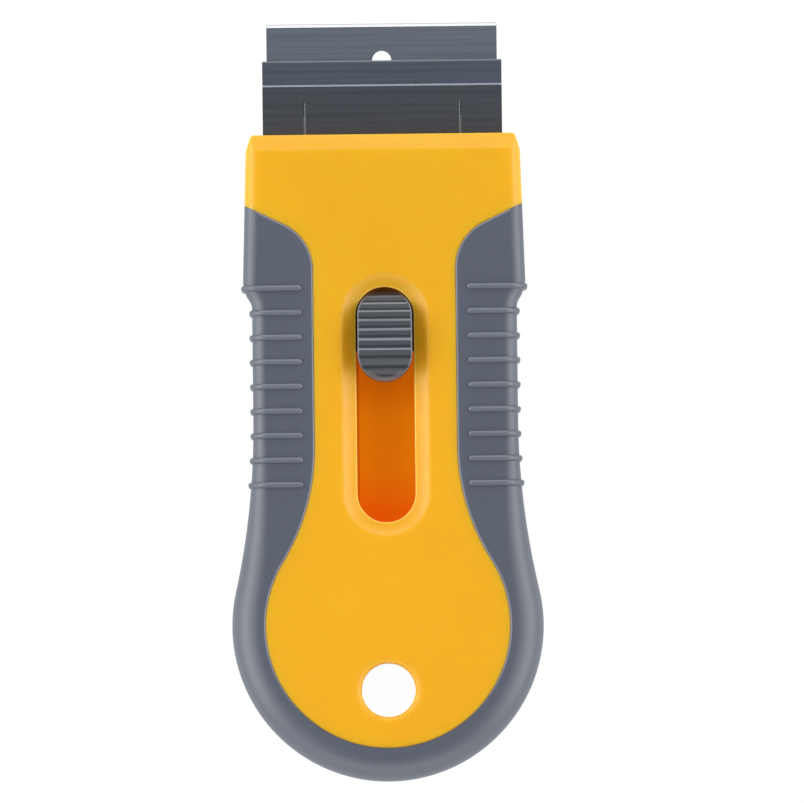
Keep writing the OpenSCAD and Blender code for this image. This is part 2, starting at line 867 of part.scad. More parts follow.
module blade_spine() {
  low = blade_z + blade_t / 2 - spine_t / 2;
  color("lightgray")
    placed()
      across(blade_w - 2 * spine_fold)
        polygon([[spine_y, low], [spine_y + spine_h, low], [spine_y + spine_h, blade_z],
          [spine_y + spine_fold, blade_z], [spine_y + spine_fold, blade_z + blade_t],
          [spine_y + spine_h, blade_z + blade_t], [spine_y + spine_h, low + spine_t],
          [spine_y, low + spine_t]]);
}

// Point of y and z at a number of pitches along the crown, raised by height
function crown(n, height) =
  let (way = n * tooth_pitch - rear_a * crown_rear_r, r = way > 0 ? crown_front_r : crown_rear_r)
    [crown_y + (r + height) * sin(way / r), button_top - r + (r + height) * cos(way / r)];

module thumb_button() {
  color("dimgray")
    placed()
      difference() {
        intersection() {
          stadium(button_front, button_l, button_x, carrier_top, button_top);
          across(slot_w)
            polygon(concat([[button_rear - over, carrier_top - over],
              [button_rear - over, crown(0, 0)[1]]],
              [for (i = [0:tooth_count - 1]) each [crown(i, 0), crown(i + crest_share, tooth_h)]],
              [crown(tooth_count, 0), [button_front + over, carrier_top - over]]));
        }
        at_button_screws()
          translate([0, 0, carrier_top - over])
            cylinder(h = button_screw_l + over, r = button_screw_r + pin_fit);
      }
}

module button_foot() {
  width = 2 * button_x - 2 * foot_margin;
  color("dimgray")
    placed()
      difference() {
        translate([-width / 2, tongue_y + foot_margin, clamp_z - foot_t])
          cube([width, button_screw_pitch + 2 * button_screw_head_r + side_gap, foot_t]);
        at_button_screws()
          cylinder(h = handle_t, r = button_screw_r + pin_fit);
      }
}

module button_screws() {
  color("silver")
    placed()
      at_button_screws()
        translate([0, 0, clamp_z - foot_t - button_screw_head_h])
          screw(button_screw_head_r, button_screw_head_h, button_screw_r,
            button_screw_l + foot_t);
}

front_shell();
rear_shell();
front_grip();
rear_grip();
housing_screws();
clamp_plate();
lock_tongue();
backing_plate();
left_spacer();
right_spacer();
carrier_rivets();
razor_blade();
blade_spine();
thumb_button();
button_foot();
button_screws();
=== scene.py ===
# Razor blade scraper: its finished pieces, their materials, the light and the camera.
# Pieces are drawn in millimetres from the centre of the round tail, with +Y towards
# the blade, +X to the right and +Z out of the button side, and put in place at the end.
from math import acos, asin, atan2, cos, hypot, pi, radians, sin, sqrt, tan

import bmesh
import bpy
from mathutils import Matrix, Vector


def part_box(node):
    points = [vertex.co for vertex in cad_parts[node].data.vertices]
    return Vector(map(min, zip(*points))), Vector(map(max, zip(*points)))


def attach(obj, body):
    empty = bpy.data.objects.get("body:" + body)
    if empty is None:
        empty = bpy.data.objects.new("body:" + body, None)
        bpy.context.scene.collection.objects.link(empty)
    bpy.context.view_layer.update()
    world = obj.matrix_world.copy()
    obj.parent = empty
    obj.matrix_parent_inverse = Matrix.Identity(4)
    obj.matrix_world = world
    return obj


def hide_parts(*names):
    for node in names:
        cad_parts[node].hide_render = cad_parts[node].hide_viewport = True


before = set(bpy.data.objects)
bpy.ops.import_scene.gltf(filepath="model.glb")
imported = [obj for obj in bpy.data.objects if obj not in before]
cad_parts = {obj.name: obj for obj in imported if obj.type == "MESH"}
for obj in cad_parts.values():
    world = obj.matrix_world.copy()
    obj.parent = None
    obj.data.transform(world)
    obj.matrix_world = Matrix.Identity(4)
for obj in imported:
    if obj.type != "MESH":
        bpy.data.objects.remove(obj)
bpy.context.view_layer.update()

MM = 0.001

# Handle
HANDLE_T = 14
MID_Z = HANDLE_T / 2
FACE_WALL, SIDE_WALL = 2, 1.85
CEILING_Z = HANDLE_T - FACE_WALL
MOUTH_Y = 82
SHOULDER_Y = MOUTH_Y - 24.4
WAIST_X = 22.1
HEAD_X = WAIST_X + 1.45
MOUTH_X = HEAD_X - 0.65
TAIL_R = WAIST_X + 3.9
GUIDE_X = 20.2
SHOULDER_R, FILLET_R, FLARE_R = 5.2, 3, 127
EDGE_R, TAIL_EDGE_R = 2.4, 5
MOUTH_CORNER_L, MOUTH_CORNER_A = 2.8, radians(18)
MOUTH_SLOPE_L, MOUTH_SLOPE_H = 2.75, 1.4
SEAM = 0.14
REACH = MOUTH_Y + TAIL_R

SHOULDER_A = acos(1 - (HEAD_X - WAIST_X) / (SHOULDER_R + FILLET_R))
FILLET_Y = SHOULDER_Y - (SHOULDER_R + FILLET_R) * sin(SHOULDER_A)
FLARE_Y = sqrt((FLARE_R + TAIL_R) ** 2 - (FLARE_R + WAIST_X) ** 2)
FLARE_A = atan2(FLARE_Y, FLARE_R + WAIST_X)
HEAD_A = atan2(HEAD_X - MOUTH_X, MOUTH_Y - MOUTH_CORNER_L - SHOULDER_Y)

# Grips
GRIP_T = 1
PANEL_X = WAIST_X - 10.2
PANEL_TAIL_R = TAIL_R - 5.6
PANEL_FLARE_R, PANEL_BEND_R = 36.5, 8.4
PANEL_BEND_Y = SHOULDER_Y + 1.9
BORDER_SLOPE = radians(26)
BORDER_X = HEAD_X + 4
RIB_COUNT, RIB_PITCH, RIB_W, RIB_H, RIB_L = 9, 4.1, 1, 0.5, 8.3
RIB_Y = SHOULDER_Y - 1.2

PANEL_FLARE_Y = sqrt((PANEL_FLARE_R + PANEL_TAIL_R) ** 2 - (PANEL_FLARE_R + PANEL_X) ** 2)
PANEL_FLARE_A = atan2(PANEL_FLARE_Y, PANEL_FLARE_R + PANEL_X)

# Thumb slot and hanging hole
SLOT_X = 4.85
SLOT_Y = SHOULDER_Y - 1.1
SLOT_L = 39.3
RING_D = 1.2
RAIL_T = 1.4
HANG_R, HANG_Y, HANG_RIM, HANG_WALL = 4.5, 10.75, 0.9, 1.8

# Blade carrier
CARRIER_Z, CARRIER_TOP = 5.8, 8.2
CLAMP_Z = 7.6
LIFT_GAP = 0.2
SLIT_X = 13.25
TONGUE_Y = 45.8
TRAVEL = 23.3
PLATE_Y = 70.6
LIP_FOOT_Y = 90.55
RIVET_X, RIVET_YS = 16.625, (74.1, 78.45)
RIVET_R, RIVET_HEAD_R, RIVET_HEAD_H = 0.8, 1.3, 0.35
PLATE_EDGE, SMALL_EDGE, BLADE_EDGE = 0.12, 0.08, 0.03

# Thumb button
BUTTON_X = SLOT_X - 0.3
BUTTON_FRONT = SLOT_Y - 0.15
BUTTON_L = 15.7
BUTTON_REAR = BUTTON_FRONT - BUTTON_L
BUTTON_TOP = 16.2
NOSE_Y = BUTTON_FRONT - 1
CROWN_FRONT_DROP, CROWN_REAR_DROP = 4.6, 2
CROWN_SHARE, CREST_SHARE = 0.36, 0.7
TOOTH_COUNT, TOOTH_H, TOOTH_SHIFT = 10, 0.35, -0.27
BUTTON_RIM = 0.42
FOOT_T = 1
BUTTON_SCREW_YS = [TONGUE_Y + 2.2 + i * 4.8 for i in (0, 1)]
BUTTON_SCREW_R, BUTTON_SCREW_HEAD_R, BUTTON_SCREW_HEAD_H, BUTTON_SCREW_L = 0.86, 1.6, 0.9, 5
BUTTON_BORE_R, BUTTON_BORE_L = 0.9, 4

# Housing screws and pegs
SCREW_X, SCREW_YS = 12.6, (9.5, -8.5)
SCREW_R, SCREW_HEAD_R, SCREW_SINK, SCREW_HEAD_H, SCREW_L = 1.3, 2.3, 0.4, 1.7, 8
SCREW_GAP = 0.2
PILOT_TOP = 10.9
PEG_X = (GUIDE_X + HEAD_X - GRIP_T) / 2
PEG_YS = (MOUTH_Y - 5.5, SHOULDER_Y + SHOULDER_R)
PEG_R, PEG_L, PEG_FIT, PEG_END_GAP = 0.7, 2.5, 0.04, 0.2

# Inside of the shells: everything there reaches by ROOT into the wall that carries it
ROOT = 0.5
GUIDE_RIB_T, BOSS_WALL = 1.3, 1.3
RAIL_GAP, RAIL_REAR = 0.4, 3.4
NOTCH_COUNT, NOTCH_L, NOTCH_H = 3, 1.8, 1.3

# Steps that rounded edges and circles are drawn in
EDGE_STEPS = 10
CIRCLE_STEPS = 96
HEAD_STEPS, SCREW_STEPS, RECESS_STEPS, PEG_STEPS = 8, 40, 48, 24

# The tail's centre in the frame, in millimetres
CENTRE_Y = -(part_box("front_grip")[0].y / MM + TAIL_R)


# Outlines: points as (x, y, normal x, normal y)


def arc(centre, radius, first, last, steps, turn=1):
    """Arc with outward normals; turn is -1 where the arc is hollow."""
    points = []
    for step in range(steps + 1):
        a = first + (last - first) * step / steps
        x, y = centre[0] + radius * cos(a), centre[1] + radius * sin(a)
        points.append((x, y, turn * cos(a), turn * sin(a)))
    return points


def mirrored(points):
    """Both sides of a shape from its right side."""
    left = [(-x, y, -nx, ny) for x, y, nx, ny in reversed(points) if x > 0.01]
    return points + left


def moved_in(point, distance):
    """Place of an outline's point, moved against its normal."""
    x, y, nx, ny = point
    return x - nx * distance, y - ny * distance


def handle_outline():
    """Outline of the handle, run out past the mouth."""
    run = 2 * EDGE_R
    top_x = MOUTH_X - (run + MOUTH_CORNER_L) * tan(HEAD_A)
    top = (top_x, MOUTH_Y + run, cos(HEAD_A) / (1 + sin(HEAD_A)), 1)
    shoulder = arc((HEAD_X - SHOULDER_R, SHOULDER_Y), SHOULDER_R, HEAD_A, -SHOULDER_A, 12)
    fillet = arc((WAIST_X + FILLET_R, FILLET_Y), FILLET_R, pi - SHOULDER_A, pi, 6, -1)
    flare = arc((WAIST_X + FLARE_R, FLARE_Y), FLARE_R, pi, pi + FLARE_A, 16, -1)
    tail = arc((0, 0), TAIL_R, FLARE_A, -pi / 2, 40)
    return mirrored([top] + shoulder + fillet[1:] + flare + tail[1:])


def panel_outline():
    """Outline of the bare panel between the grips, run out past the head."""
    bend_end = PANEL_X + PANEL_BEND_R * (1 - sin(BORDER_SLOPE))
    bend_y = PANEL_BEND_Y + PANEL_BEND_R * cos(BORDER_SLOPE)
    nx, ny = sin(BORDER_SLOPE), -cos(BORDER_SLOPE)
    border = (BORDER_X, bend_y + (BORDER_X - bend_end) * tan(BORDER_SLOPE), nx, ny)
    bend_centre = PANEL_X + PANEL_BEND_R, PANEL_BEND_Y
    bend = arc(bend_centre, PANEL_BEND_R, pi / 2 + BORDER_SLOPE, pi, 20, -1)
    flare_centre = PANEL_X + PANEL_FLARE_R, PANEL_FLARE_Y
    flare = arc(flare_centre, PANEL_FLARE_R, pi, pi + PANEL_FLARE_A, 16, -1)
    tail = arc((0, 0), PANEL_TAIL_R, PANEL_FLARE_A, -pi / 2, 40)
    return mirrored([(BORDER_X, 2 * REACH, 0, 0), border] + bend + flare + tail[1:])


def stadium_outline(front, length, radius, steps=24):
    """Outline with two round ends, whose front end lies at y = front."""
    nose = arc((0, front - radius), radius, 0, pi, steps)
    back = arc((0, front - length + radius), radius, pi, 2 * pi, steps)
    return nose + back


def rounded(points, steps=6):
    """Polygon with round corners; each point is x, y and its corner's radius."""
    result = []
    for i, (x, y, radius) in enumerate(points):
        corner = Vector((x, y))
        before = (Vector(points[i - 1][:2]) - corner).normalized()
        after = (Vector(points[(i + 1) % len(points)][:2]) - corner).normalized()
        if not radius:
            result.append((x, y))
            continue
        half = before.angle(after) / 2
        centre = corner + (before + after).normalized() * radius / sin(half)
        start = corner + before * radius / tan(half) - centre
        turn = start.angle_signed(corner + after * radius / tan(half) - centre)
        for step in range(steps + 1):
            a = -turn * step / steps
            point = centre + Matrix.Rotation(a, 2) @ start
            result.append((point.x, point.y))
    return result


def smooth(t):
    """Rise from 0 to 1 that starts and ends level."""
    t = min(max(t, 0), 1)
    return t * t * (3 - 2 * t)


def edge_radius(y):
    """Radius of the long edge, which grows towards the tail."""
    return EDGE_R + (TAIL_EDGE_R - EDGE_R) * smooth(1 - y / FLARE_Y)


def side_at(y):
    """Half width of the handle beside the ribs."""
    if y > SHOULDER_Y:
        return HEAD_X
    if y > FILLET_Y:
        return max(WAIST_X, HEAD_X - SHOULDER_R + sqrt(SHOULDER_R**2 - (SHOULDER_Y - y) ** 2))
    if y > FLARE_Y:
        return WAIST_X
    return WAIST_X + FLARE_R - sqrt(FLARE_R**2 - (FLARE_Y - y) ** 2)


HANDLE = handle_outline()
PANEL = panel_outline()


# Solids


def tidied(solid):
    """Solid without doubles, whose faces point outwards."""
    bmesh.ops.remove_doubles(solid, verts=solid.verts, dist=1e-4)
    bmesh.ops.recalc_face_normals(solid, faces=solid.faces)
    return solid


def lofted(rings):
    """Solid through rings of equal count, with flat ends."""
    around = len(rings[0])
    solid = bmesh.new()
    bmesh.ops.create_grid(solid, x_segments=around, y_segments=len(rings) - 1, size=1)
    solid.verts.ensure_lookup_table()
    for j, ring in enumerate(rings):
        for i in range(around + 1):
            solid.verts[j * (around + 1) + i].co = ring[i % around]
    bmesh.ops.remove_doubles(solid, verts=solid.verts, dist=1e-5)
    bmesh.ops.holes_fill(solid, edges=solid.edges)
    return tidied(solid)


def profiled(outline, profile):
    """Solid over an outline, through steps of how far it lies in and how high."""
    return lofted([[(*moved_in(p, inset), z) for p in outline] for inset, z in profile])


def block(x0, x1, y0, y1, z0, z1):
    solid = bmesh.new()
    size = Matrix.Diagonal((x1 - x0, y1 - y0, z1 - z0, 1))
    centre = Matrix.Translation(((x0 + x1) / 2, (y0 + y1) / 2, (z0 + z1) / 2))
    bmesh.ops.create_cube(solid, size=1, matrix=centre @ size)
    return solid


def turned(profile, centre=(0, 0), steps=CIRCLE_STEPS):
    """Solid of revolution through points of radius and height, from axis to axis."""
    solid = bmesh.new()
    points = [solid.verts.new((r, 0, z)) for r, z in profile]
    edges = [solid.edges.new(pair) for pair in zip(points, points[1:])]
    bmesh.ops.spin(
        solid, geom=points + edges, axis=(0, 0, 1), cent=(0, 0, 0), angle=2 * pi, steps=steps,
        use_merge=True)
    bmesh.ops.translate(solid, vec=(*centre, 0), verts=solid.verts)
    return tidied(solid)


def pin(radius, z0, z1, centre=(0, 0), steps=32):
    return turned([(0, z0), (radius, z0), (radius, z1), (0, z1)], centre, steps)


def across(points, x0, x1):
    """Solid whose side view is given as points of y and z."""
    return lofted([[(x, y, z) for y, z in points] for x in (x0, x1)])


def joined(solids):
    """One mesh of several solids."""
    whole = bmesh.new()
    for solid in solids:
        mesh = bpy.data.meshes.new("part")
        solid.to_mesh(mesh)
        solid.free()
        whole.from_mesh(mesh)
        bpy.data.meshes.remove(mesh)
    return whole


def shown(solid, name):
    """Object in the scene that takes a solid over."""
    mesh = bpy.data.meshes.new(name)
    solid.to_mesh(mesh)
    solid.free()
    piece = bpy.data.objects.new(name, mesh)
    bpy.context.scene.collection.objects.link(piece)
    return piece


def combined(base, tool, operation):
    """The union, intersection or difference of two solids."""
    pair = shown(base, "base"), shown(tool, "tool")
    modifier = pair[0].modifiers.new("shape", "BOOLEAN")
    modifier.operation, modifier.solver, modifier.object = operation, "EXACT", pair[1]
    result = bmesh.new()
    result.from_object(pair[0], bpy.context.evaluated_depsgraph_get())
    for piece in pair:
        mesh = piece.data
        bpy.data.objects.remove(piece)
        bpy.data.meshes.remove(mesh)
    bmesh.ops.remove_doubles(result, verts=result.verts, dist=2e-4)
    bmesh.ops.dissolve_degenerate(result, edges=result.edges, dist=2e-4)
    return result


def cut(base, *tools):
    for tool in tools:
        base = combined(base, tool, "DIFFERENCE")
    return base


def raised(solid, height):
    bmesh.ops.translate(solid, vec=(0, 0, height), verts=solid.verts)
    return solid


def turned_over(solid):
    """Front half made a rear half, below the parting plane."""
    bmesh.ops.scale(solid, vec=(1, 1, -1), verts=solid.verts)
    bmesh.ops.reverse_faces(solid, faces=solid.faces)
    return solid


def rib_pair(points):
    """Guide ribs on the right and on the left, from their side view."""
    inner = SLIT_X + LIFT_GAP
    outer = inner + GUIDE_RIB_T
    return joined([across(points, side * inner, side * outer) for side in (1, -1)])


# Materials

# Grain of moulded surfaces: waves a metre, and depth in metres
PLASTIC_GRAIN = 3800, 0.000012
GRIP_GRAIN, HIGHLIGHT_GRIP_GRAIN = (6500, 0.00002), (6500, 0.00001)
BUTTON_GRAIN, PAINTED_LIGHT_BUTTON_GRAIN = (5200, 0.000014), (5200, 0.00001)

GRIP_COLOUR, GRIP_TINT = (0.07, 0.084, 0.116), (0.064, 0.077, 0.107)
RIM_HIGHLIGHT_COLOUR, RIM_BAND_HIGHLIGHT_COLOUR = (0.21, 0.22, 0.25), (0.135, 0.118, 0.125)
HONED_LINE_W, HONED_LINE_COLOUR = 0.2 * MM, (0.42, 0.44, 0.48)
LIP_HIGHLIGHT_W, LIP_HIGHLIGHT_COLOUR = 0.26 * MM, (0.5, 0.53, 0.57)

# Painted glow, an emission that stands in for the light that comes through the walls round the
# slot:
# along its middle, at its tail end, beside the button, and in faint clouds
MIDDLE_GLOW, TAIL_GLOW = (0.185, 0.066, 0), (0.2, 0.021, 0)
BUTTON_GLOW, CLOUD_GLOW, CLOUD_SHARE = (0.145, 0.034, 0), (0.22, 0.09, 0), 0.16


def in_frame(y):
    """Y in metres in the frame, from millimetres from the tail's centre."""
    return (y - CENTRE_Y) * MM


def principled(name, colour, roughness, metallic=0.0, specular=0.5):
    material = bpy.data.materials.new(name)
    material.use_nodes = True
    shader = material.node_tree.nodes["Principled BSDF"]
    shader.inputs["Base Color"].default_value = (*colour, 1)
    shader.inputs["Roughness"].default_value = roughness
    shader.inputs["Metallic"].default_value = metallic
    shader.inputs["Specular IOR Level"].default_value = specular
    material.diffuse_color = (*colour, 1)
    return material, shader


def node(material, kind, **settings):
    made = material.node_tree.nodes.new(kind)
    for key, value in settings.items():
        setattr(made, key, value)
    return made


def link(material, source, target):
    material.node_tree.links.new(source, target)


def noise(material, scale, detail=2.0, stretch=(1, 1, 1), roughness=0.5):
    """Noise on the object's own coordinates; scale is in waves a metre."""
    place = node(material, "ShaderNodeTexCoord")
    mapping = node(material, "ShaderNodeMapping")
    mapping.inputs["Scale"].default_value = stretch
    texture = node(material, "ShaderNodeTexNoise")
    texture.inputs["Scale"].default_value = scale
    texture.inputs["Detail"].default_value = detail
    texture.inputs["Roughness"].default_value = roughness
    link(material, place.outputs["Object"], mapping.inputs["Vector"])
    link(material, mapping.outputs["Vector"], texture.inputs["Vector"])
    return texture.outputs["Fac"]


def spread(material, value, low, high, out_low, out_high):
    """Value moved from one range to another."""
    made = node(material, "ShaderNodeMapRange")
    limits = {"From Min": low, "From Max": high, "To Min": out_low, "To Max": out_high}
    for key, number in limits.items():
        made.inputs[key].default_value = number
    link(material, value, made.inputs["Value"])
    return made.outputs["Result"]


def blended(material, factor, first, second):
    """Mix of two colours, each a tuple or another node's output."""
    made = node(material, "ShaderNodeMix", data_type="RGBA")
    for socket, colour in ((made.inputs[6], first), (made.inputs[7], second)):
        if isinstance(colour, tuple):
            socket.default_value = (*colour, 1)
        else:
            link(material, colour, socket)
    link(material, factor, made.inputs[0])
    return made.outputs[2]


def maths(material, operation, first, second=0.0):
    """Arithmetic on two values, each a number or another node's output."""
    made = node(material, "ShaderNodeMath", operation=operation)
    for socket, value in zip(made.inputs, (first, second)):
        if isinstance(value, (int, float)):
            socket.default_value = value
        else:
            link(material, value, socket)
    return made.outputs[0]


def coordinates(material):
    """The object's own x, y and z in metres."""
    place = node(material, "ShaderNodeTexCoord")
    parts = node(material, "ShaderNodeSeparateXYZ")
    link(material, place.outputs["Object"], parts.inputs[0])
    return parts.outputs


def bumped(material, height, distance, strength):
    made = node(material, "ShaderNodeBump")
    made.inputs["Strength"].default_value = strength
    made.inputs["Distance"].default_value = distance
    link(material, height, made.inputs["Height"])
    return made.outputs["Normal"]


def moulded(name, colour, tint, roughness, grain, translucency=0.0, specular=0.5, marks=None):
    """Moulded plastic or rubber with a fine grain and a cloudy tint."""
    waves, depth = grain
    material, shader = principled(name, colour, roughness, specular=specular)
    shader.inputs["Subsurface Weight"].default_value = translucency
    shader.inputs["Subsurface Radius"].default_value = (1, 0.42, 0.06)
    shader.inputs["Subsurface Scale"].default_value = 4 * MM
    cloud = noise(material, 55, 3)
    base = blended(material, spread(material, cloud, 0.3, 0.7, 0, 1), colour, tint)
    if marks:
        base = marks(material, base)
    link(material, base, shader.inputs["Base Color"])
    fine = noise(material, waves, 2)
    gloss = spread(material, fine, 0.3, 0.7, roughness - 0.04, roughness + 0.05)
    link(material, gloss, shader.inputs["Roughness"])
    link(material, bumped(material, fine, depth, 0.5), shader.inputs["Normal"])
    return material


def rim_highlight(material, base):
    """Painted highlight: a pale line along the thumb button's rim, broader round its tail end, on
    faces that look up.
    """
    x, y, _ = coordinates(material)
    middle, straight = (BUTTON_FRONT + BUTTON_REAR) / 2, BUTTON_L / 2 - BUTTON_X
    along = maths(material, "SUBTRACT", y, in_frame(middle))
    past = maths(material, "SUBTRACT", maths(material, "ABSOLUTE", along), straight * MM)
    past = maths(material, "MAXIMUM", past, 0)
    squares = [maths(material, "MULTIPLY", value, value) for value in (x, past)]
    out = maths(material, "SQRT", maths(material, "ADD", *squares))
    up = node(material, "ShaderNodeSeparateXYZ")
    link(material, node(material, "ShaderNodeNewGeometry").outputs["Normal"], up.inputs[0])
    faces_up = spread(material, up.outputs["Z"], 0.15, 0.35, 0, 1)
    end = -BUTTON_L / 2
    line = spread(material, out, (BUTTON_X - 0.26) * MM, (BUTTON_X - 0.16) * MM, 0, 1)
    fade = spread(material, along, (end + 1) * MM, (end + 4) * MM, 0.1, 1)
    line = maths(material, "MULTIPLY", line, fade)
    band = spread(material, out, (BUTTON_X - 0.9) * MM, (BUTTON_X - 0.6) * MM, 0, 1)
    at_tail = spread(material, along, (end + 2) * MM, (end + 0.8) * MM, 0, 1)
    band = maths(material, "MULTIPLY", band, at_tail)
    band, line = [maths(material, "MULTIPLY", mask, faces_up) for mask in (band, line)]
    base = blended(material, band, base, RIM_BAND_HIGHLIGHT_COLOUR)
    return blended(material, line, base, RIM_HIGHLIGHT_COLOUR)


def seam_highlight_fade(material, base):
    """The painted highlight on the seam's edge fades out round the tail."""
    y = coordinates(material)[1]
    no_highlight = spread(material, y, in_frame(-16), in_frame(-4), 1, 0)
    return blended(material, no_highlight, base, GRIP_TINT)


def lit_through(name, colour, tint):
    """Inside of the thin walls: a painted deeper orange and a painted glow, which stand in for the
    light that comes through them.
    """
    material = moulded(name, colour, tint, 0.5, PLASTIC_GRAIN, specular=0.1)
    shader = material.node_tree.nodes["Principled BSDF"]
    x, y, _ = coordinates(material)
    slot_end = SLOT_Y - SLOT_L
    tail_part = spread(material, y, in_frame(slot_end + 9), in_frame(slot_end + 2), 0, 1)
    near_button = spread(
        material, y, in_frame(BUTTON_REAR - 6), in_frame(BUTTON_REAR - 1), 0, 1)
    cloud = spread(material, noise(material, 120, 2), 0.35, 0.65, 0, CLOUD_SHARE)
    glow = blended(material, tail_part, MIDDLE_GLOW, TAIL_GLOW)
    glow = blended(material, near_button, glow, BUTTON_GLOW)
    glow = blended(material, cloud, glow, CLOUD_GLOW)
    # Painted shadow: a narrow dark strip along the slot's left side
    aside = maths(material, "ABSOLUTE", maths(material, "ADD", x, (SLOT_X - 0.24) * MM))
    shadow_strip = spread(material, aside, 0.12 * MM, 0.22 * MM, 1, 0)
    glow = blended(material, shadow_strip, glow, (0, 0, 0))
    link(material, glow, shader.inputs["Emission Color"])
    shader.inputs["Emission Strength"].default_value = 1.0
    return material


def front_line(material, base, node_name, width, colour):
    """Line along the front end of a CAD node."""
    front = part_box(node_name)[1].y
    mask = spread(material, coordinates(material)[1], front - width, front - width / 2, 0, 1)
    return blended(material, mask, base, colour)


def honed_line(material, base):
    return front_line(material, base, "razor_blade", HONED_LINE_W, HONED_LINE_COLOUR)


# Painted highlight along the front edge of the lip
def lip_highlight(material, base):
    return front_line(material, base, "clamp_plate", LIP_HIGHLIGHT_W, LIP_HIGHLIGHT_COLOUR)


def brushed(name, colour, tint, roughness, lines=900, stain=None, metallic=1.0, marks=None):
    """Steel with fine grinding lines along X, and maybe a cloudy stain."""
    material, shader = principled(name, colour, roughness, metallic=metallic)
    strokes = noise(material, lines, 4, stretch=(0.02, 1.6, 1.6), roughness=0.7)
    base = blended(material, spread(material, strokes, 0.3, 0.7, 0, 1), colour, tint)
    if stain:
        cloud = spread(material, noise(material, 90, 3), 0.45, 0.75, 0, 0.6)
        base = blended(material, cloud, base, stain)
    if marks:
        base = marks(material, base)
    link(material, base, shader.inputs["Base Color"])
    gloss = spread(material, strokes, 0.3, 0.7, roughness - 0.06, roughness + 0.08)
    link(material, gloss, shader.inputs["Roughness"])
    link(material, bumped(material, strokes, 0.000004, 0.35), shader.inputs["Normal"])
    return material


yellow_plastic = moulded(
    "yellow plastic", (0.795, 0.43, 0.005), (0.785, 0.405, 0.004), 0.36, PLASTIC_GRAIN,
    translucency=0.6)
# Painted highlight: a paler yellow on the narrow edge at the foot of the slot's ring
slot_edge_highlight = moulded(
    "slot edge highlight", (0.93, 0.62, 0.12), (0.9, 0.58, 0.1), 0.36, PLASTIC_GRAIN)
# Painted glow and painted deeper orange on the inside walls
lit_plastic = lit_through("lit plastic inside", (0.86, 0.4, 0.004), (0.84, 0.37, 0.004))

grey_grip = moulded("grey soft grip", GRIP_COLOUR, GRIP_TINT, 0.42, GRIP_GRAIN, specular=1.0)
# Painted highlight on the tops and blade sides of the face's ribs
grip_rib_highlight = moulded(
    "rubbed grip ribs", (0.118, 0.136, 0.17), (0.105, 0.122, 0.155), 0.4, HIGHLIGHT_GRIP_GRAIN,
    specular=1.0)
# Painted highlight on the grip's broken edge along the seam
grip_edge_highlight = moulded(
    "rubbed grip edge", (0.22, 0.233, 0.265), (0.19, 0.203, 0.235), 0.42, HIGHLIGHT_GRIP_GRAIN,
    marks=seam_highlight_fade)

button_plastic = moulded(
    "dark button plastic", (0.058, 0.067, 0.079), (0.05, 0.059, 0.07), 0.42, BUTTON_GRAIN,
    marks=rim_highlight)
# Painted highlight on the rib crests
button_crest_highlight = moulded(
    "rubbed rib crests", (0.2, 0.213, 0.25), (0.17, 0.182, 0.215), 0.4, PAINTED_LIGHT_BUTTON_GRAIN)
# Painted shade in the grooves between the ribs
button_groove_shade = moulded(
    "painted shade in rib grooves", (0.033, 0.037, 0.044), (0.028, 0.031, 0.038), 0.5,
    PAINTED_LIGHT_BUTTON_GRAIN, specular=0.3, marks=rim_highlight)

carrier_steel = brushed(
    "oiled carrier steel", (0.132, 0.143, 0.166), (0.118, 0.128, 0.15), 0.4,
    stain=(0.112, 0.138, 0.165))
lip_steel = brushed(
    "oiled lip steel", (0.165, 0.197, 0.253), (0.15, 0.178, 0.228), 0.4,
    stain=(0.15, 0.165, 0.2), marks=lip_highlight)
# Painted highlight on the steel plates' broken edges
steel_edge_highlight = brushed(
    "rubbed steel edge", (0.66, 0.69, 0.74), (0.58, 0.61, 0.66), 0.42, metallic=0.5)
# Painted highlight on the crease at the lip's foot
crease_highlight_steel = brushed("crease highlight", (0.6, 0.63, 0.68), (0.5, 0.53, 0.58), 0.42)
blade_steel = brushed(
    "ground blade steel", (0.285, 0.33, 0.4), (0.262, 0.302, 0.366), 0.36, lines=1400)
# The ground slopes: their own ground finish, and a painted highlight in their near-white, non-metal
# colour
ground_edge_and_highlight = brushed(
    "honed cutting edge", (0.86, 0.88, 0.91), (0.8, 0.82, 0.86), 0.5, lines=2200, metallic=0.0,
    marks=honed_line)
spine_steel = brushed("folded spine steel", (0.5, 0.51, 0.53), (0.4, 0.41, 0.43), 0.36)
zinc_plate = brushed(
    "zinc plate", (0.62, 0.63, 0.64), (0.52, 0.53, 0.55), 0.34, stain=(0.45, 0.46, 0.42))


# Finishing


def set_edges(solid, sharp_angle=32):
    """Faces shaded smooth, but for edges sharper than an angle in degrees."""
    for face in solid.faces:
        face.smooth = True
    for edge in solid.edges:
        edge.smooth = len(edge.link_faces) == 2 and edge.calc_face_angle(0) < radians(sharp_angle)


def keep_flat(solid):
    """The grips' flat faces aren't shaded into their broken edges along the seam."""
    for edge in solid.edges:
        if sorted(face.material_index == 1 for face in edge.link_faces) == [False, True]:
            edge.smooth = False


def marked(solid, index, chosen):
    """Faces take another material where their centre and normal are chosen."""
    solid.normal_update()
    for face in solid.faces:
        if chosen(face.calc_center_median(), face.normal):
            face.material_index = index
    return solid


def placed(solid):
    """Millimetres from the tail's centre made metres in the frame."""
    matrix = Matrix.Scale(MM, 4) @ Matrix.Translation((0, -CENTRE_Y, 0))
    bmesh.ops.transform(solid, matrix=matrix, verts=solid.verts)
    return solid


def finished(solid, node_name, body, slot, *materials):
    """Object that stands for a CAD node."""
    set_edges(solid)
    if node_name.endswith("grip"):
        keep_flat(solid)
    piece = shown(solid, node_name + "_finished")
    for material in materials:
        piece.data.materials.append(material)
    normals = piece.modifiers.new("face shading", "WEIGHTED_NORMAL")
    normals.keep_sharp = True
    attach(piece, body)
    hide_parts(node_name)


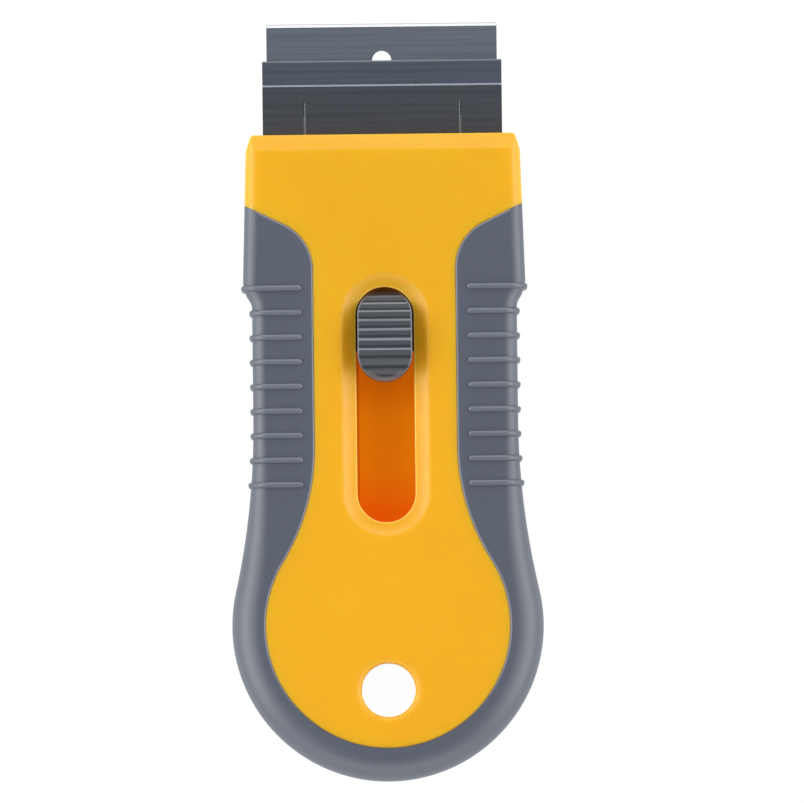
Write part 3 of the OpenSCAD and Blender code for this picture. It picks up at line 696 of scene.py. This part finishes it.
def broken_edges(node_name, width, segments=2, edge_material=-1, whole_at=1):
    """Copy of a CAD node with broken sharp edges, but for those at y = whole_at, in metres."""
    solid = bmesh.new()
    solid.from_mesh(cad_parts[node_name].data)
    bmesh.ops.remove_doubles(solid, verts=solid.verts, dist=1e-6)
    bmesh.ops.dissolve_limit(solid, angle_limit=radians(1), verts=solid.verts, edges=solid.edges)
    bmesh.ops.recalc_face_normals(solid, faces=solid.faces)
    corners = [edge for edge in solid.edges if edge.calc_face_angle(0) > radians(30)
        and not all(abs(vert.co.y - whole_at) < 0.02 * MM for vert in edge.verts)]
    bmesh.ops.bevel(
        solid, geom=corners, offset=width * MM, segments=segments, profile=0.5, affect="EDGES",
        material=edge_material, clamp_overlap=True)
    return solid


# Handle pieces


def handle_form(inset, skirt=0.0, seam=0.0):
    """Half of the handle above its parting plane, drawn in by inset."""
    profile = [(inset + seam, -skirt), (inset, seam - skirt)] if seam else [(inset, -skirt)]
    rings = [[(*moved_in(p, d), z) for p in HANDLE] for d, z in profile]
    for step in range(EDGE_STEPS + 1):
        turn = pi / 2 * step / EDGE_STEPS
        ring = []
        for p in HANDLE:
            r = edge_radius(p[1]) - inset
            plan = moved_in(p, inset + r * (1 - cos(turn)))
            ring.append((*plan, MID_Z - inset - r * (1 - sin(turn))))
        rings.append(ring)
    return lofted(rings)


def panel_form():
    """Space of the bare panel, whose upper edge falls away to the grips."""
    return profiled(PANEL, [(0, -1), (0, MID_Z - 0.2), (0.1, MID_Z - 0.13), (0.35, MID_Z - 0.085),
        (0.9, MID_Z - 0.05), (1.6, MID_Z - 0.02), (2.4, MID_Z - 0.003), (2.9, MID_Z + 0.02),
        (3, MID_Z + 1)])


def grip_cutter():
    """The same space for the grips, whose edge it rounds."""
    return profiled(PANEL, [(-0.02, -1), (-0.02, MID_Z - 0.24), (-0.05, MID_Z - 0.12),
        (-0.12, MID_Z - 0.045), (-0.22, MID_Z - 0.01), (-0.32, MID_Z + 0.005), (-0.4, MID_Z + 1)])


def mouth_space():
    """Space in which the mouth's end lies. Its slope fades out along the slanting corners."""
    steps, corner_r = 14, 0.7
    start = Vector((MOUTH_X, MOUTH_Y - MOUTH_CORNER_L))
    end_x = start.x - MOUTH_CORNER_L * tan(MOUTH_CORNER_A)
    out = start.x + 1, start.y - 1 / tan(MOUTH_CORNER_A)
    edge = rounded([(REACH, -REACH, 0), (REACH, out[1], 0), (*out, 0), (end_x, MOUTH_Y, corner_r),
        (0, MOUTH_Y, 0), (0, -REACH, 0)])[:-2]
    side = [start.lerp(Vector(edge[3]), step / steps) for step in range(steps)]
    points = edge[:3] + [tuple(point) for point in side] + edge[3:]
    plan = mirrored([(x, y, 0, smooth((y - start.y) / MOUTH_CORNER_L)) for x, y in points])
    low, top = MID_Z - MOUTH_SLOPE_H, MID_Z + 0.003
    slope = rounded([(0, -2, 0), (0, low, 0.35), (MOUTH_SLOPE_L, top, 0.9),
        (3 * MOUTH_SLOPE_L, top + 0.003, 0), (4 * MOUTH_SLOPE_L, MID_Z + 2, 0),
        (8 * MOUTH_SLOPE_L, -2, 0)])
    return profiled(plan, slope[:-1])


def hollow():
    """Hollow inside one half."""
    ring = []
    for p in HANDLE:
        x, y = moved_in(p, SIDE_WALL + 0.8 * (edge_radius(p[1]) - EDGE_R))
        if y > FILLET_Y:
            x = max(-GUIDE_X, min(GUIDE_X, x))
        ring.append((x, min(y, MOUTH_Y - SIDE_WALL)))
    return lofted([[(x, y, z) for x, y in ring] for z in (-1, MID_Z - FACE_WALL)])


def shell_form():
    """One bare shell above its parting plane."""
    shell = combined(handle_form(0, seam=SEAM), panel_form(), "INTERSECT")
    shell = combined(shell, handle_form(GRIP_T, seam=SEAM), "UNION")
    shell = combined(shell, mouth_space(), "INTERSECT")
    return cut(shell, hollow())


def slot_cutter():
    """Thumb slot with its hollow ring, as a cutter."""
    ring = [(0, MID_Z - HANDLE_T), (0, -RING_D - 0.12), (0.05, -RING_D), (0.17, -RING_D + 0.06),
        (0.5, -1.08), (1, -0.88), (1.5, -0.62), (1.9, -0.36), (2.15, -0.17), (2.35, -0.06),
        (2.6, -0.01), (2.8, 0.01), (2.9, 1)]
    outline = stadium_outline(SLOT_Y, SLOT_L, SLOT_X)
    return profiled(outline, [(-out, HANDLE_T + z) for out, z in ring])


def hang_cutter():
    """Hanging hole with soft rims, as a cutter."""
    rim, steps = [], 8
    for step in range(steps + 1):
        a = pi / 2 * step / steps
        rim.append((HANG_R + 1.5 * HANG_RIM * (1 - cos(a)), HANG_RIM * (1 - sin(a))))
    wide = rim[-1][0] + 0.1
    profile = [(0, -1), (wide, -1)] + rim[::-1] + [(r, HANDLE_T - z) for r, z in rim]
    return turned(profile + [(wide, HANDLE_T + 1), (0, HANDLE_T + 1)], (0, -HANG_Y))


def mouth_cutter():
    """Opening for the carrier, as a cutter."""
    return block(-GUIDE_X, GUIDE_X, MOUTH_Y - 2 * SIDE_WALL, MOUTH_Y + 1, CARRIER_Z - LIFT_GAP,
        CARRIER_TOP + LIFT_GAP)


def at_screws(maker):
    return joined([maker((side * SCREW_X, y)) for side in (1, -1) for y in SCREW_YS])


def at_pegs(maker):
    return joined([maker((side * PEG_X, y)) for side in (1, -1) for y in PEG_YS])


def is_inside(centre, _):
    """Walls of the hollow, but not the hanging hole's."""
    x, y, z = centre
    in_height = 1.5 < z < CEILING_Z + 0.85
    in_width = abs(x) < GUIDE_X + 0.1 and hypot(x, min(y, 0)) < TAIL_R - 3.6
    off_hole = hypot(x, y + HANG_Y) > HANG_R + 0.5
    return in_height and in_width and off_hole and y < MOUTH_Y - SIDE_WALL


def is_slot_edge(centre, _):
    """Narrow edge at the foot of the ring, which takes a painted highlight."""
    x, y, z = centre
    past = max(abs(y - SLOT_Y + SLOT_L / 2) - SLOT_L / 2 + SLOT_X, 0)
    return 0.01 < hypot(x, past) - SLOT_X < 0.2 and abs(z - HANDLE_T + RING_D) < 0.15


def hang_tube(low, high):
    """Solid tube round the hanging hole, which is cut later."""
    return pin(HANG_R + HANG_WALL, low, high, (0, -HANG_Y), CIRCLE_STEPS)


def lock_notches(low, high):
    """Cutters for the notches that the tongue's pawls snap into."""
    reach, first = SLOT_X + RAIL_T + 1, BUTTON_FRONT - BUTTON_L / 4
    return joined([
        block(-reach, reach, y - NOTCH_L / 2, y + NOTCH_L / 2, low, high)
        for y in [first - i * TRAVEL / (NOTCH_COUNT - 1) for i in range(NOTCH_COUNT)]])


def front_shell():
    """Front shell with guide ribs, notched rails, screw bosses, pegs and the slot."""
    end_y, mouth_y = TONGUE_Y - TRAVEL - 1, MOUTH_Y - SIDE_WALL + ROOT
    low, high = CARRIER_TOP + LIFT_GAP, CEILING_Z + ROOT
    rail_z, rail_y = CARRIER_TOP + RAIL_GAP, SLOT_Y - SLOT_L + RAIL_REAR
    rail_outline = stadium_outline(SLOT_Y + RAIL_T, SLOT_L + 2 * RAIL_T, SLOT_X + RAIL_T)
    rails = combined(
        lofted([[(p[0], p[1], z) for p in rail_outline] for z in (rail_z, high)]),
        block(-HEAD_X, HEAD_X, rail_y, MOUTH_Y, 0, HANDLE_T), "INTERSECT")
    inner = joined([
        rib_pair([(end_y, low), (mouth_y, low), (mouth_y, high), (end_y, high)]),
        rails,
        hang_tube(MID_Z, high),
        at_screws(lambda centre: pin(SCREW_R + BOSS_WALL, MID_Z, high, centre)),
        at_pegs(lambda centre: pin(PEG_R, MID_Z - PEG_L, MID_Z + ROOT, centre, PEG_STEPS)),
    ])
    shell = combined(raised(shell_form(), MID_Z), inner, "UNION")
    pilots = at_screws(lambda centre: pin(SCREW_R, MID_Z - 1, PILOT_TOP, centre))
    shell = cut(shell, slot_cutter(), hang_cutter(), mouth_cutter(), pilots,
        lock_notches(rail_z - 1, rail_z + NOTCH_H))
    return placed(marked(marked(shell, 1, is_inside), 2, is_slot_edge))


def rear_shell():
    """Rear shell with guide ribs, screw bosses with sunk heads, and peg holes."""
    end_y, mouth_y = TONGUE_Y - TRAVEL - 1, MOUTH_Y - SIDE_WALL + ROOT
    rest_y = PLATE_Y - TRAVEL - LIFT_GAP
    floor_z, low, high = FACE_WALL - ROOT, CARRIER_Z - LIFT_GAP, CLAMP_Z - LIFT_GAP
    inner = joined([
        rib_pair([(end_y, floor_z), (mouth_y, floor_z), (mouth_y, low), (rest_y, low),
            (rest_y, high), (end_y, high)]),
        hang_tube(floor_z, MID_Z),
        at_screws(lambda centre: pin(SCREW_HEAD_R + BOSS_WALL, floor_z, MID_Z, centre)),
    ])
    shell = combined(raised(turned_over(shell_form()), MID_Z), inner, "UNION")
    head_r, shank_r, seat = SCREW_HEAD_R + SCREW_GAP, SCREW_R + SCREW_GAP, SCREW_SINK + SCREW_HEAD_H
    recess = [(0, -1), (head_r + 0.45, -1), (head_r + 0.35, 0), (head_r + 0.1, 0.12),
        (head_r, 0.35), (head_r, seat), (shank_r, seat), (shank_r, HANDLE_T), (0, HANDLE_T)]
    recesses = at_screws(lambda centre: turned(recess, centre, RECESS_STEPS))
    peg_low = MID_Z - PEG_L - PEG_END_GAP
    peg_holes = at_pegs(lambda centre: pin(PEG_R + PEG_FIT, peg_low, HANDLE_T, centre, PEG_STEPS))
    shell = cut(shell, hang_cutter(), mouth_cutter(), recesses, peg_holes)
    return placed(marked(shell, 1, is_inside))


def rib(y, side, wraps_face):
    """One grip rib, from its round end on the face, over the edge, to the parting plane."""
    reach, r = side_at(y), edge_radius(y)
    half, inner, end_z = RIB_W / 2, WAIST_X - RIB_L, 0.06
    face_steps, edge_steps, round_steps = 6, 12, 8
    # Stations: x, z, the way that the rib faces, its share of the whole width, and its height
    stations = []
    if wraps_face:
        for step in range(1, face_steps + 1):
            turn = pi / 2 * step / face_steps
            x, size = inner + half * (1 - cos(turn)), sin(turn)
            stations.append((x, MID_Z, pi / 2, size, RIB_H * size**0.6))
        stations.append((reach - r, MID_Z, pi / 2, 1, RIB_H))
    for step in range(1, edge_steps + 1):
        turn = pi / 2 * (1 - step / edge_steps)
        # A rib that doesn't wrap the face stays within the flat back
        room = 0.9 * r * (1 / max(sin(turn), 0.01) - 1)
        height = RIB_H if wraps_face else min(RIB_H, room)
        stations.append((reach - r + r * cos(turn), MID_Z - r + r * sin(turn), turn, 1, height))
    stations.append((reach, end_z, 0, 1, RIB_H))
    rings = []
    for x, z, turn, size, height in stations:
        ring = []
        for step in range(round_steps + 1):
            a = pi * step / round_steps
            lift = height * sin(a) ** 0.9 if 0 < step < round_steps else 0
            out, up = cos(turn) * lift, sin(turn) * lift
            ring.append((side * (x + out), y + half * size * cos(a), z + up))
        root_x, root_z = x - cos(turn) * ROOT, z - sin(turn) * ROOT
        for way in (-1, 1):
            ring.append((side * root_x, y + way * half * size, root_z))
        rings.append(ring)
    return lofted(rings)


def is_seam_edge(centre, normal):
    """The grip's broken edge along the bare panel, which takes a painted highlight."""
    inward = normal.x * centre.x + normal.y * min(centre.y, 0) < 0
    return inward and MID_Z - 0.25 < centre.z < MID_Z - 0.0005 and 0.25 < abs(normal.z) < 0.998


def is_rib_top(centre, normal):
    """Top and blade side of a rib on the face, which take a painted highlight."""
    return centre.z > MID_Z + 0.05 and normal.y > -0.35


def grip(wraps_face):
    """One soft grip above the parting plane."""
    body = cut(handle_form(0, seam=SEAM), grip_cutter(), handle_form(GRIP_T, skirt=1))
    rib_ys = [RIB_Y - i * RIB_PITCH for i in range(RIB_COUNT)]
    ribs = joined([rib(y, side, wraps_face) for y in rib_ys for side in (1, -1)])
    return marked(marked(combined(body, ribs, "UNION"), 1, is_seam_edge), 2, is_rib_top)


# Thumb button


def arc_radius(length, drop):
    """Radius of an arc that leaves level and falls by drop over a length."""
    return (length**2 + drop**2) / (2 * drop)


CROWN_Y = BUTTON_REAR + BUTTON_L * CROWN_SHARE
FRONT_R = arc_radius(NOSE_Y - CROWN_Y, CROWN_FRONT_DROP)
REAR_R = arc_radius(CROWN_Y - BUTTON_REAR, CROWN_REAR_DROP)
REAR_WAY = REAR_R * asin((CROWN_Y - BUTTON_REAR) / REAR_R)
TOOTH_PITCH = (REAR_WAY + FRONT_R * asin((NOSE_Y - CROWN_Y) / FRONT_R)) / TOOTH_COUNT


def crown(n, height):
    """y and z at a number of pitches along the crown from its tail end, raised by height."""
    way = n * TOOTH_PITCH - REAR_WAY
    radius = FRONT_R if way > 0 else REAR_R
    turn, reach = way / radius, radius + height
    return CROWN_Y + reach * sin(turn), BUTTON_TOP - radius + reach * cos(turn)


def crown_z(y):
    """Height of the bare crown, and of the steep nose in front of it."""
    if y > NOSE_Y:
        low_y, low_z = BUTTON_FRONT + 1, CARRIER_TOP - 1
        nose_z = BUTTON_TOP - CROWN_FRONT_DROP
        return nose_z + (y - NOSE_Y) / (low_y - NOSE_Y) * (low_z - nose_z)
    radius = FRONT_R if y > CROWN_Y else REAR_R
    return BUTTON_TOP - radius + sqrt(radius**2 - (y - CROWN_Y) ** 2)


def toothed_slab():
    """Slab with the crown's thumb ribs across its top."""
    side = [(BUTTON_REAR - 1, CARRIER_TOP - 1, 0), (BUTTON_REAR - 1, crown(0, 0)[1], 0)]
    for tooth in [i + TOOTH_SHIFT for i in range(TOOTH_COUNT + 1)]:
        valley, crest = Vector(crown(tooth, 0)), Vector(crown(tooth + CREST_SHARE, TOOTH_H))
        foot = Vector(crown(tooth + 1, 0))
        if tooth + 1 > TOOTH_COUNT:
            last_h = TOOTH_H * -TOOTH_SHIFT / CREST_SHARE
            side += [(*valley, 0.05), (*crown(TOOTH_COUNT, last_h), 0)]
            break
        side += [(*valley, 0.05), (*valley.lerp(crest, 0.22), 0), (*valley.lerp(crest, 0.84), 0),
            (*crest, 0.1), (*crest.lerp(foot, 0.5), 0)]
    side += [(BUTTON_FRONT + 1, CARRIER_TOP - 1, 0)]
    return across(rounded(side, 3), -SLOT_X, SLOT_X)


def button_body():
    """Button without thumb ribs, with a round rim that falls just under their roots."""
    rim, columns = BUTTON_RIM, 48
    middle, straight = (BUTTON_FRONT + BUTTON_REAR) / 2, BUTTON_L / 2 - BUTTON_X
    ends = [straight + BUTTON_X * sin(radians(5 * step)) for step in range(19)]
    rows = sorted({0.5 * step for step in range(-6, 7)} | set(ends) | {-end for end in ends})
    body = bmesh.new()
    bmesh.ops.create_grid(body, x_segments=columns, y_segments=len(rows) - 1, size=1)
    body.verts.ensure_lookup_table()
    for j, row in enumerate(rows):
        out = max(0, abs(row) - straight)
        half = sqrt(max(0, BUTTON_X**2 - out**2))
        for i in range(columns + 1):
            x = half * sin((2 * i / columns - 1) * pi / 2)
            gap = min(max(BUTTON_X - hypot(x, out), 0), rim)
            z = crown_z(middle + row) + TOOTH_H - rim + sqrt(rim**2 - (rim - gap) ** 2)
            body.verts[j * (columns + 1) + i].co = (x, middle + row, z)
    edges = [edge for edge in body.edges if edge.is_boundary]
    for vert in bmesh.ops.extrude_edge_only(body, edges=edges)["geom"]:
        if isinstance(vert, bmesh.types.BMVert):
            vert.co.z = CARRIER_TOP
    bmesh.ops.holes_fill(body, edges=body.edges)
    return tidied(body)


def on_crown(centre):
    """Share of a rib's pitch at which a point lies, and its height over the crown."""
    radius = FRONT_R if centre.y > CROWN_Y else REAR_R
    up = centre.z - BUTTON_TOP + radius
    way = radius * atan2(centre.y - CROWN_Y, up)
    share = ((REAR_WAY + way) / TOOTH_PITCH - TOOTH_SHIFT) % 1
    return share, hypot(centre.y - CROWN_Y, up) - radius


def is_crest(centre, normal):
    share, height = on_crown(centre)
    return (normal.z > 0.1 and CROWN_Y - 0.5 < centre.y < NOSE_Y
        and 0.6 < share < 0.84 and height > 0.55 * TOOTH_H)


def is_groove(centre, normal):
    share, height = on_crown(centre)
    return (normal.z > 0.1 and centre.y < NOSE_Y
        and not 0.14 < share < 0.85 and abs(height) < 0.45 * TOOTH_H)


def thumb_button():
    """Button with its ribs and the bores for its screws."""
    holes = joined([
        pin(BUTTON_BORE_R, CARRIER_TOP - 1, CARRIER_TOP + BUTTON_BORE_L, (0, y), PEG_STEPS)
        for y in BUTTON_SCREW_YS])
    button = cut(combined(button_body(), toothed_slab(), "INTERSECT"), holes)
    return placed(marked(marked(button, 1, is_crest), 2, is_groove))


# Screws and rivets


def screw(centre, head_z, head_r, head_h, shank_r, shank_l):
    """Self-tapping screw with a round head and a cross recess, head down."""
    half_pitch, core_share = 0.42, 0.78
    top = head_z + head_h
    dome = [(head_r * sin(a), head_z + 0.28 * head_h * (1 - cos(a)))
        for a in [pi / 2 * step / HEAD_STEPS for step in range(HEAD_STEPS + 1)]]
    thread = [(shank_r * (1 if step % 2 else core_share), top + 0.3 + step * half_pitch)
        for step in range(int((shank_l - shank_r) / half_pitch))]
    profile = [(0, head_z)] + dome[1:] + [(head_r, top), (shank_r * 0.85, top)] + thread
    profile += [(shank_r * 0.4, top + shank_l), (0, top + shank_l)]
    body = turned(profile, centre, SCREW_STEPS)
    reach, half = 0.6 * head_r, 0.11 * head_r
    arms = []
    for turn in (0, pi / 2):
        arm = block(-reach, reach, -half, half, head_z - 1, head_z + 0.6 * head_h)
        matrix = Matrix.Rotation(turn, 3, "Z")
        bmesh.ops.rotate(arm, cent=(0, 0, 0), matrix=matrix, verts=arm.verts)
        bmesh.ops.translate(arm, vec=(*centre, 0), verts=arm.verts)
        arms.append(arm)
    return cut(body, combined(*arms, "UNION"))


def housing_screws():
    return placed(at_screws(
        lambda centre: screw(centre, SCREW_SINK, SCREW_HEAD_R, SCREW_HEAD_H, SCREW_R, SCREW_L)))


def button_screws():
    low = CLAMP_Z - FOOT_T - BUTTON_SCREW_HEAD_H
    return placed(joined([
        screw((0, y), low, BUTTON_SCREW_HEAD_R, BUTTON_SCREW_HEAD_H, BUTTON_SCREW_R,
            BUTTON_SCREW_L)
        for y in BUTTON_SCREW_YS]))


def rivet(centre):
    """Rivet with a domed head on each plate."""
    dome = [(RIVET_HEAD_R * cos(a), RIVET_HEAD_H * sin(a))
        for a in [pi / 2 * step / 6 for step in range(7)]]
    low = [(r, CARRIER_Z - z) for r, z in reversed(dome)]
    high = [(r, CARRIER_TOP + z) for r, z in dome]
    shank = [(RIVET_R, CARRIER_Z), (RIVET_R, CARRIER_TOP)]
    return turned(low + shank + high, centre, SCREW_STEPS)


def carrier_rivets():
    return placed(joined([rivet((side * RIVET_X, y)) for side in (1, -1) for y in RIVET_YS]))


# Steel plates, on the frame's own coordinates


def is_lip(centre, _):
    return centre.y > in_frame(LIP_FOOT_Y + 0.2)


def is_crease(centre, normal):
    """The slope at the lip's foot, which takes a painted highlight."""
    near = abs(centre.y - in_frame(LIP_FOOT_Y)) < 0.45 * MM
    return near and 0.15 < abs(normal.y) < 0.98 and normal.z > 0.1


def is_ground(_, normal):
    """The blade's two ground slopes."""
    return 0.12 < abs(normal.y) < 0.6 and abs(normal.x) < 0.1


def clamp_plate(root_y):
    """Clamp plate with a lip, a painted highlight on its crease, and edges painted pale as
    highlights but for the tongue's root.
    """
    plate = broken_edges("clamp_plate", PLATE_EDGE, edge_material=1, whole_at=root_y)
    highlit = [face for face in plate.faces if face.material_index == 1]
    marked(marked(plate, 2, is_lip), 3, is_crease)
    for face in highlit:
        face.material_index = 1
    return plate


finished(
    front_shell(), "front_shell", "housing", "yellow_plastic", yellow_plastic, lit_plastic,
    slot_edge_highlight)
finished(rear_shell(), "rear_shell", "housing", "yellow_plastic", yellow_plastic, lit_plastic)
finished(
    placed(raised(grip(True), MID_Z)), "front_grip", "housing", "grey_grip", grey_grip,
    grip_edge_highlight, grip_rib_highlight)
finished(
    placed(raised(turned_over(grip(False)), MID_Z)), "rear_grip", "housing", "grey_grip",
    grey_grip, grip_edge_highlight)
finished(housing_screws(), "housing_screws", "housing", "zinc_screws", zinc_plate)

finished(
    thumb_button(), "thumb_button", "button", "button_plastic", button_plastic, button_crest_highlight,
    button_groove_shade)
finished(
    broken_edges("button_foot", 0.1), "button_foot", "button", "button_plastic", button_plastic)
finished(button_screws(), "button_screws", "button", "zinc_screws", zinc_plate)

tongue_root_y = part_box("lock_tongue")[1].y
finished(
    clamp_plate(tongue_root_y), "clamp_plate", "carrier", "carrier_steel", carrier_steel,
    steel_edge_highlight, lip_steel, crease_highlight_steel)
finished(
    broken_edges("lock_tongue", PLATE_EDGE, edge_material=1, whole_at=tongue_root_y),
    "lock_tongue", "carrier", "carrier_steel", carrier_steel, steel_edge_highlight)
finished(
    broken_edges("backing_plate", SMALL_EDGE), "backing_plate", "carrier", "carrier_steel",
    carrier_steel)
for spacer in ("left_spacer", "right_spacer"):
    finished(broken_edges(spacer, SMALL_EDGE), spacer, "carrier", "zinc_screws", zinc_plate)
finished(carrier_rivets(), "carrier_rivets", "carrier", "zinc_screws", zinc_plate)
finished(
    broken_edges("blade_spine", PLATE_EDGE, 3), "blade_spine", "carrier", "blade_spine_steel",
    spine_steel)
finished(
    marked(broken_edges("razor_blade", BLADE_EDGE), 1, is_ground), "razor_blade", "carrier",
    "blade_steel", blade_steel, ground_edge_and_highlight)


# Floor, light and camera


FLOOR_HALF, FLOOR_Z = 4, -0.02 * MM
FLOOR_GLOW, FLOOR_SHARE = 1.05, 0.93
LAMP_W, LAMP_H = 0.9, 0.32


def floor_material():
    """Pale floor that the camera sees as white, with the object's shadow kept faint."""
    material, shader = principled("pale floor", (0.8, 0.8, 0.8), 0.9)
    glow = node(material, "ShaderNodeEmission")
    glow.inputs["Color"].default_value = (1, 1, 1, 1)
    glow.inputs["Strength"].default_value = FLOOR_GLOW
    rays = node(material, "ShaderNodeLightPath").outputs
    seen = maths(material, "MAXIMUM", rays["Is Camera Ray"], rays["Is Glossy Ray"])
    seen = maths(material, "MAXIMUM", seen, rays["Is Transmission Ray"])
    share = maths(material, "MULTIPLY", seen, FLOOR_SHARE)
    mix = node(material, "ShaderNodeMixShader")
    for source, target in zip((share, shader.outputs[0], glow.outputs[0]), mix.inputs):
        link(material, source, target)
    surface = material.node_tree.nodes["Material Output"].inputs["Surface"]
    link(material, mix.outputs[0], surface)
    return material


def add_floor():
    grid = bmesh.new()
    bmesh.ops.create_grid(grid, x_segments=1, y_segments=1, size=FLOOR_HALF)
    bmesh.ops.translate(grid, vec=(0, 0, FLOOR_Z), verts=grid.verts)
    pale_floor = shown(grid, "pale_floor")
    pale_floor.data.materials.append(floor_material())


def soft_lamp(name, azimuth, radiance, distance=0.55, lift=0.2):
    """Upright soft box beside the object; azimuth 0 stands at +X and 90 at +Y."""
    lamp = bpy.data.lights.new(name, "AREA")
    lamp.shape, lamp.size, lamp.size_y = "RECTANGLE", LAMP_W, LAMP_H
    lamp.energy = radiance * pi * LAMP_W * LAMP_H
    holder = bpy.data.objects.new(name, lamp)
    bpy.context.scene.collection.objects.link(holder)
    a = radians(azimuth)
    holder.location = (distance * cos(a), distance * sin(a), lift)
    holder.rotation_euler = (-holder.location).to_track_quat("-Z", "Y").to_euler()
    holder.visible_camera = False


def pale_sky():
    """White sky, stronger near the horizon than overhead."""
    world = bpy.data.worlds.new("pale studio")
    bpy.context.scene.world = world
    world.use_nodes = True
    sky = world.node_tree.nodes["Background"]
    sky.inputs["Color"].default_value = (1, 1, 1, 1)
    parts = node(world, "ShaderNodeSeparateXYZ")
    link(world, node(world, "ShaderNodeTexCoord").outputs["Generated"], parts.inputs[0])
    strength = spread(world, parts.outputs["Z"], 0.15, 0.75, 0.75, 0.3)
    link(world, strength, sky.inputs["Strength"])


add_floor()
soft_lamp("blade_side_lamp", 90, 1.8)
soft_lamp("left_lamp", 180, 2.7)
soft_lamp("right_lamp", 0, 2.4)
soft_lamp("tail_side_lamp", 270, 1.1)
soft_lamp("upper_left_lamp", 180, 1.5, distance=0.5, lift=0.55)
soft_lamp("upper_right_lamp", 0, 1.3, distance=0.5, lift=0.55)
pale_sky()
bpy.context.scene.view_settings.view_transform = "Standard"

# The camera looks almost straight down from far away, a little from the tail's side.
# These are in pixels and millimetres.
IMAGE_W, SENSOR_W = 804, 36
PIXELS_A_MM = 5.992
DISTANCE = 3000
TARGET = (2.75, 0.06, 9)
FOOT = (1.3, -75)
ROLL = radians(0.65)

camera_data = bpy.data.cameras.new("camera")
camera = bpy.data.objects.new("camera", camera_data)
bpy.context.scene.collection.objects.link(camera)
camera_data.sensor_width = SENSOR_W
camera_data.lens = PIXELS_A_MM * DISTANCE * SENSOR_W / IMAGE_W
eye = Vector((FOOT[0], FOOT[1], TARGET[2] + DISTANCE))
back = (eye - Vector(TARGET)).normalized()
up = Vector((sin(ROLL), cos(ROLL), 0))
right = up.cross(back).normalized()
camera.matrix_world = Matrix((right, back.cross(right), back)).transposed().to_4x4()
camera.location = eye * MM
camera_data.clip_start, camera_data.clip_end = 0.05, 20
bpy.context.scene.camera = camera
